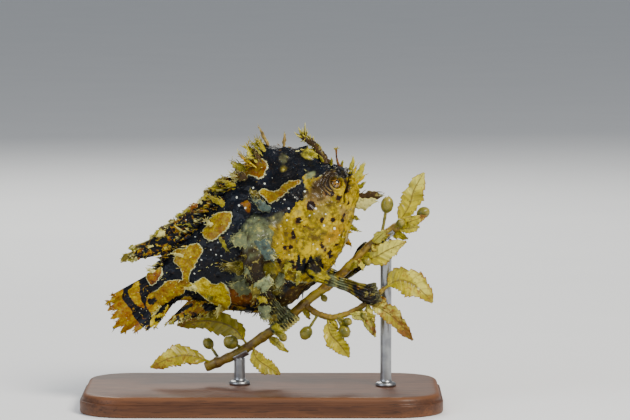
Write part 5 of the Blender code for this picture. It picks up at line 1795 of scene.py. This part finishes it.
class FISH_OT_flaps(bpy.types.Operator):
    """Flaps, chin tassels and small filaments, coloured as the skin that they grow from"""

    bl_idname = "fish.flaps"
    bl_label = "Flaps and filaments"

    def execute(self, context):
        self.broad_flaps()
        self.chin_tassels()
        self.filaments(context.scene.fish_sizes)
        return {"FINISHED"}

    def broad_flaps(self):
        """The flaps that the side view shows, on both flanks."""
        draw = np.random.default_rng(51)
        made = []
        for number, (root, tip, width, lift, tint) in enumerate(FLANK_FLAPS):
            (behind, _), (turn, _) = view_to_skin((root, tip))
            flat = np.append(np.diff(view_to_body((root, tip)), axis=0), 0.0)
            for side in (1, -1):
                start = raised_point(behind, turn) * (1, 1, side)
                _, normal = skin_place(behind, min(start[1], section(behind)[0] * 0.97), side)
                scale = 1.0 if side == 1 else draw.uniform(0.45, 0.95)
                stray = (0.0, 0.0, 0.0) if side == 1 else draw.normal(size=3) * 0.3
                way = unit(unit(flat) + (lift + 0.2) * normal + stray)
                across = np.cross(way, normal) + draw.normal(size=3) * 0.12
                length = (span(flat) + 0.6) * scale
                bend = (0.0, -0.06, 0.0) - 0.18 * normal
                form = (length, width * scale, bend, tint, number)
                sunk = start - 0.5 * way + 0.15 * normal
                made.append(leafy_flap(sunk, way, across, *form))
        add_flaps("flank_flaps", made)

    def chin_tassels(self):
        """Leafy tassels on the chin, throat, brow and nape."""
        made = []
        for number, (*place, way, length, width, tint) in enumerate(CHIN_FLAPS):
            way = unit(way)
            root = seat(np.array(place) - 2.0 * way, way) - 0.5 * way
            root = root + (0.0, hump_lift(root), 0.0)
            form = (length + 0.5, width, (0.0, 0.1, 0.0), tint, 70 + number, 0.5)
            made.append(leafy_flap(root, way, np.cross(way, (0.2, 0.0, 1.0)), *form))
        add_flaps("chin_tassels", made)

    def filaments(self, sizes):
        """Small filaments scattered over the skin, lying back along it, longest on the back."""
        draw = np.random.default_rng(53)
        points, normals, marks = skin_surface(sizes.skin_rings, sizes.skin_sides)
        points, normals = points.reshape(-1, 3), normals.reshape(-1, 3)
        stations = points[:, 0]
        on_back = soft_step(0.6, 0.95, normals[:, 1]) * soft_step(6, 9, stations)
        weight = 0.3 + 2.2 * on_back * soft_step(16, 22, stations)
        weight = weight + 0.5 * soft_step(12, 40, stations)
        for side in (1, -1):
            away = span(points - eye_frame(side)[0])
            weight = weight * soft_step(3.6, 4.6, away)
        weight = weight * (stations < 53)
        count = sizes.cirrus_count
        chosen = draw.choice(len(stations), count, False, weight / weight.sum())
        ways = normals[chosen] * 0.7 + draw.normal(size=(count, 3)) * 0.3
        lengths = sizes.cirrus_length / MM * draw.uniform(0.4, 1.4, count) * (1 + 1.1 * on_back[chosen])
        shape, along = flaps(
            points[chosen] - 0.12 * normals[chosen],
            ways + (0.8, 0.0, 0.0),
            draw.normal(size=(count, 3)),
            lengths,
            lengths * draw.uniform(0.3, 0.6, count),
            draw.normal(size=(count, 3)) * 0.2,
            rows=5,
            sides=5,
        )
        each = len(along) // count
        own = {name: np.repeat(values[chosen], each, axis=0) for name, values in marks.items()}
        own["mottle"] = np.repeat(draw.uniform(size=count) < 0.5, each) * 0.9
        own["tip"] = along * np.repeat(draw.uniform(0.3, 1.2, count), each)
        skin_piece("filaments", shape, "mottled_skin", own)


class FISH_OT_weed(bpy.types.Operator):
    """The cut length of floating weed: stem, twig, leaves and air bladders"""

    bl_idname = "fish.weed"
    bl_label = "Floating weed"

    def execute(self, context):
        draw = np.random.default_rng(62)
        small_leaves, small_bladders = self.sprigs(draw)
        self.stem()
        self.leaves((*LEAVES, *small_leaves), draw)
        self.bladders((*BLADDERS, *small_bladders))
        return {"FINISHED"}

    def add(self, name, shapes, finish, marks):
        """Makes a piece of several shapes, with their marks as lists of arrays."""
        marks = {mark: np.concatenate(values) for mark, values in marks.items()}
        make_piece(name, joined(shapes), finish, ("perch_weed",), marks)

    def sprigs(self, draw):
        """Small leaves and bladders along the branches, as rows of the two tables."""
        leaves, bladders = [], []
        for number in range(SPRIG_COUNT):
            route = TWIG_ROUTE if number % 3 == 0 else STEM_ROUTE
            share = draw.uniform(0.25, 0.97)
            root = on_branch(route, share)
            low = route is TWIG_ROUTE or share < 0.66
            way = np.array((draw.uniform(0.1, 1.0), draw.uniform(-1.2, 0.1), draw.uniform(-1.1, 0.9)))
            way[2] = -abs(way[2]) - 0.3 if low else way[2]
            way = unit(way)
            if number % 4 == 3:
                place = root + draw.uniform(2.2, 3.6) * way
                bladders.append((route, share, place, draw.uniform(0.8, 1.2), 1.15))
                continue
            length = draw.uniform(4.0, 8.0)
            bend = draw.normal(size=3) * 0.16
            points = [root + length * (s * way + s * s * bend) for s in (0.35, 0.7, 1.0)]
            leaves.append((route, share, points, 0.36 * length))
        return leaves, bladders

    def stem(self):
        """Stem and twig: round tubes with swollen nodes and low ridges."""
        shapes, low = [], []
        branches = ((STEM_ROUTE, STEM_RADII, 220, 26), (TWIG_ROUTE, TWIG_RADII, 110, 20))
        for route, radii, rows, sides in branches:
            path = sampled(route, rows)
            s = np.linspace(0, 1, rows)
            radius = np.linspace(*radii, rows) * (1 + 0.14 * bell((s * 9.0) % 1.0 - 0.5, 0.1))
            radius[0] *= 0.86
            radius[-1] *= 0.8
            rings = tube_rings(path, radius, radius, (0, 1, 0), sides)
            ridges = 0.06 * ripple(rings, 2.2, 61) + 0.03 * ripple(rings, 0.9, 64)
            shapes.append(tube(rings + ridges[..., None] * unit(rings - path[:, None])))
            low.append(np.append(np.repeat(1 - soft_step(0.0, 0.45, s), sides), (1.0, 0.0)))
        self.add("weed_stem", shapes, weed_bark(), {"low": low})

    def leaves(self, table, draw):
        """Blades on curved mid lines: ragged, cupped, twisted, frilled at the margin, with a rib."""
        shapes, marks = [], {"margin": [], "age": [], "veins": []}
        for number, (route, share, points, width) in enumerate(table):
            rows, columns = (72, 21) if number < len(LEAVES) else (36, 11)
            line = np.array((on_branch(route, share), *points))
            path = sampled(line, rows)
            face = unit(np.array((0.15, -1.0, 0.3)) + 0.25 * draw.normal(size=3))
            _, across, normal = frames_along(path, np.cross(face, line[-1] - line[0]))
            along = np.linspace(0, 1, rows)[:, None]
            twist = draw.uniform(-0.7, 0.7) * along
            level = across
            across = np.cos(twist) * level + np.sin(twist) * normal
            normal = np.cos(twist) * normal - np.sin(twist) * level
            blade = np.clip((along - 0.12) / 0.88, 0, 1)
            form = np.sin(math.pi * blade**0.85) ** 0.7
            c = np.linspace(-1, 1, columns)[None, :]
            side, off = np.sign(c), np.abs(c)
            phases = draw.uniform(0, 6, 4)
            swell = 0.13 * np.sin(along * 8 + phases[0] + 2 * side)
            swell = swell + 0.07 * np.sin(along * 19 + phases[1] + 3 * side)
            teeth = (along * 11 + 0.4 * np.sin(along * 9 + phases[2]) + 0.5 * (c > 0)) % 1.0
            saw = 1 + (swell - 0.2 * teeth) * off**3 * (form > 0.15)
            half_width = np.maximum(width / 2 * form * 1.08, 0.3)
            mid = path[:, None] + (half_width * c * saw)[..., None] * across[:, None]
            cup = draw.uniform(-0.1, 0.22) * width * off * form
            frill = 0.34 * np.sin(along * 24 + phases[3] + 2 * c) * off**2 * form
            ribs = np.sin((along - 0.12 * off) * 60)
            mid = mid + (cup + frill + 0.08 * ribs * form)[..., None] * normal[:, None]
            rib = 0.22 * bell(c, 0.1) * (1 - 0.6 * along)
            half = (0.15 - 0.09 * off**2) + rib + 0.16 * (form < 0.05)
            shapes.append(sheet(mid, half, normal[:, None]))
            aged = draw.uniform(-0.15, 0.6) + 0.3 * soft_step(0.7, 1.0, along)
            aged = aged + 0.7 * (number == WITHERED_LEAF)
            for name, values in (("margin", off), ("age", aged), ("veins", 0.5 + 0.5 * ribs)):
                marks[name].append(np.tile(np.broadcast_to(values, half.shape).ravel(), 2))
        self.add("weed_leaves", shapes, weed_leaf(), marks)

    def bladders(self, table):
        """Air bladders: a thin stalk that widens into an oval ball with a small point."""
        rows, ball_rows, sides = 60, 42, 32
        shapes, crowns = [], []
        for route, share, centre, radius, stretch in table:
            root = on_branch(route, share)
            to_centre = np.array(centre) - root
            reach = span(to_centre)
            half_length = radius * stretch
            end = reach + half_length
            ball = reach - half_length * np.cos(np.linspace(0.12, math.pi * 0.985, ball_rows))
            stalk = np.linspace(0, ball[0], rows - ball_rows - 2, endpoint=False)
            at = np.concatenate((stalk, ball, end + np.array((0.12, 0.28))))
            inside = np.clip(1 - ((at - reach) / half_length) ** 2, 0, 1)
            radii = radius / stretch**0.3 * np.sqrt(inside)
            radii = np.maximum(radii, 0.3 * (at < reach) + 0.07)
            path = root + at[:, None] * unit(to_centre)
            rings = tube_rings(path, radii, radii, (0.3, 1.0, 0.2), sides)
            dimples = 0.04 * ripple(rings, 1.4, 63)
            shapes.append(tube(rings + dimples[..., None] * unit(rings - path[:, None])))
            crown = soft_step(reach + 0.3 * half_length, end, at)
            crowns.append(np.append(np.repeat(crown, sides), (0.0, 1.0)))
        self.add("weed_bladders", shapes, weed_bladder(), {"crown": crowns})


class FISH_OT_stand(bpy.types.Operator):
    """Display stand: a moulded wooden base and two steel rods with cradles under the stem"""

    bl_idname = "fish.stand"
    bl_label = "Stand"

    def execute(self, context):
        self.base()
        self.rods()
        return {"FINISHED"}

    def base(self):
        """A profile of (inset, height) carried round a rectangle with round corners."""
        low, high = (np.array(corner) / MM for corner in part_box("stand_base"))
        per_corner = 20
        quarter = np.linspace(0, math.pi / 2, per_corner)
        angle = np.concatenate([quarter + k * math.pi / 2 for k in range(4)])
        out = np.column_stack((np.cos(angle), np.sin(angle)))
        signs = np.repeat(((1, 1), (-1, 1), (-1, -1), (1, -1)), per_corner, axis=0)
        rings = []
        for inset, height in BASE_PROFILE:
            radius = max(BASE_CORNER - inset, 0.5)
            half = (high - low)[:2] / 2 - inset - radius
            ring = signs * half + radius * out
            rings.append(np.column_stack((ring, np.full(len(ring), height))))
        step = np.arange(len(BASE_PROFILE))
        wear = bell(step - 14.0, 1.6) + bell(step - 3.0, 1.2)
        marks = {"wear": np.append(np.repeat(wear, 4 * per_corner), (0.0, 0.0))}
        shape = tube(np.array(rings))
        make_piece("display_base", shape, stand_wood(), ("stand_base",), marks)

    def rods(self):
        """Rods with a collar at the foot, and a gutter-shaped cradle round the stem's underside."""
        sides, steps, foot = 48, 20, 7.4
        turn = turns(sides)
        angle = np.radians(np.linspace(-CRADLE_RISE, CRADLE_RISE, 33))[:, None, None]
        length = np.linspace(-CRADLE_HALF_LENGTH, CRADLE_HALF_LENGTH, 13)[None, :, None]
        for name, share in zip(("stand_rod_low", "stand_rod_high"), ROD_ALONG_STEM):
            point, travel, near, down = grip_frame(share)
            stem_radius = np.interp(share, (0, 1), STEM_RADII)
            top = point[2] - (stem_radius + 0.1) / abs(down[2])
            shaft = np.column_stack((np.full(steps, ROD_RADIUS), np.linspace(foot, top, steps)))
            radii, heights = np.concatenate((ROD_FOOT, shaft)).T[..., None]
            x = point[0] + radii * np.cos(turn)
            y = point[1] + radii * np.sin(turn)
            rings = np.stack((x, y, np.repeat(heights, sides, axis=1)), axis=-1)
            out = np.cos(angle) * down + np.sin(angle) * near
            cradle = point + (stem_radius + 0.3) * out + length * travel
            gutter = sheet(cradle, np.full(cradle.shape[:2], CRADLE_HALF_WALL), out)
            shape = joined((outward(tube(rings)), outward(gutter)))
            make_piece("display_" + name[6:], shape, rod_steel(), (name,))


def set_up(name, data, place, away):
    """Places a lamp or the camera upright, looking against `away`."""
    holder = bpy.data.objects.new(name, data)
    side = unit(np.cross((0, 0, 1), away))
    up = np.cross(away, side)
    rows = [(side[k], up[k], away[k], place[k]) for k in range(3)]
    holder.matrix_world = Matrix((*rows, (0, 0, 0, 1)))
    bpy.context.scene.collection.objects.link(holder)
    return holder


class FISH_OT_stage(bpy.types.Operator):
    """Pale floor, soft lights and the camera at the photograph's viewing angle"""

    bl_idname = "fish.stage"
    bl_label = "Stage"

    def execute(self, context):
        settings = context.scene.fish_stage
        self.floor()
        self.lights(settings)
        self.camera(settings)
        return {"FINISHED"}

    def floor(self):
        """A wide round floor just under the base: rings of points round its centre."""
        radii = np.array((0.3, 0.8, 2.0, 5.0, 9.0, 14.0))[:, None]
        sides, drop = 96, -0.02 * MM
        turn = turns(sides)
        level = np.full((len(radii), sides), drop)
        rings = np.stack((radii * np.cos(turn), radii * np.sin(turn), level), axis=-1)
        points = np.concatenate((rings.reshape(-1, 3), ((0.0, 0.0, drop),)))
        quads, triangles = tube_faces(len(radii), sides)
        centre_fan = triangles[:sides][:, ::-1]
        mesh = bpy.data.meshes.new("stage_floor")
        mesh.from_pydata(points.tolist(), [], quads[:, ::-1].tolist() + centre_fan.tolist())
        mesh.materials.append(stage_floor())
        floor = bpy.data.objects.new("stage_floor", mesh)
        bpy.context.scene.collection.objects.link(floor)

    def lights(self, settings):
        """Soft sky, and a key, a fill and a back lamp that face the fish."""
        world = bpy.context.scene.world or bpy.data.worlds.new("studio")
        bpy.context.scene.world = world
        world.use_nodes = True
        sky = world.node_tree.nodes["Background"]
        sky.inputs["Color"].default_value = (*linear((236, 241, 247)), 1.0)
        sky.inputs["Strength"].default_value = 0.34
        fill = settings.fill_power
        lamps = (
            ("key_light", (0.42, -0.5, 0.62), 0.34, settings.key_power, (255, 248, 236)),
            ("fill_light", (-0.6, -0.45, 0.35), 0.5, fill, (232, 241, 255)),
            ("back_light", (-0.1, 0.62, 0.5), 0.4, fill * 1.4, (255, 252, 244)),
        )
        for name, place, size, power, tint in lamps:
            lamp = bpy.data.lights.new(name, "AREA")
            lamp.shape = "DISK"
            lamp.size = size
            lamp.energy = power
            lamp.color = linear(tint)
            set_up(name, lamp, place, unit(np.array(place) - (0.0, 0.0, 0.04)))

    def camera(self, settings):
        """Camera towards +Y, raised a little; the lens gives the view's width at the fish."""
        lens = bpy.data.cameras.new("camera")
        lens.sensor_width = 36.0
        lens.lens = lens.sensor_width * settings.distance / settings.view_width
        lens.clip_start = 0.05
        lens.clip_end = 40.0
        lens.dof.use_dof = False
        centre = np.array((13.25, 0.0, 49.0)) * MM
        away = np.array((0.0, -math.cos(settings.elevation), math.sin(settings.elevation)))
        holder = set_up("camera", lens, centre + settings.distance * away, away)
        bpy.context.scene.camera = holder


class FISH_PT_pieces(bpy.types.Panel):
    """Lists the pieces and the settings"""

    bl_label = "Sargassum Fish"
    bl_space_type = "VIEW_3D"
    bl_region_type = "UI"
    bl_category = "Fish"

    def draw(self, context):
        for operator in OPERATORS:
            self.layout.operator(operator.bl_idname)
        for group in SETTINGS:
            settings = getattr(context.scene, group)
            for name in settings.__annotations__:
                self.layout.prop(settings, name)


OPERATORS = (
    FISH_OT_skin,
    FISH_OT_eyes,
    FISH_OT_fins,
    FISH_OT_arms,
    FISH_OT_pelvic_fins,
    FISH_OT_spines,
    FISH_OT_flaps,
    FISH_OT_weed,
    FISH_OT_stand,
    FISH_OT_stage,
)
SETTINGS = {"fish_sizes": FishSizes, "fish_colours": FishColours, "fish_stage": StageSettings}
CLASSES = (*SETTINGS.values(), *OPERATORS, FISH_PT_pieces)


def register():
    for each in CLASSES:
        bpy.utils.register_class(each)
    for name, group in SETTINGS.items():
        setattr(bpy.types.Scene, name, bpy.props.PointerProperty(type=group))


def unregister():
    for name in SETTINGS:
        delattr(bpy.types.Scene, name)
    for each in reversed(CLASSES):
        bpy.utils.unregister_class(each)


def main():
    register()
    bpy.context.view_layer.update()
    bpy.ops.fish.skin()
    bpy.ops.fish.eyes()
    bpy.ops.fish.fins()
    bpy.ops.fish.arms()
    bpy.ops.fish.pelvic_fins()
    bpy.ops.fish.spines()
    bpy.ops.fish.flaps()
    bpy.ops.fish.weed()
    bpy.ops.fish.stand()
    bpy.ops.fish.stage()


if __name__ == "__main__":
    main()
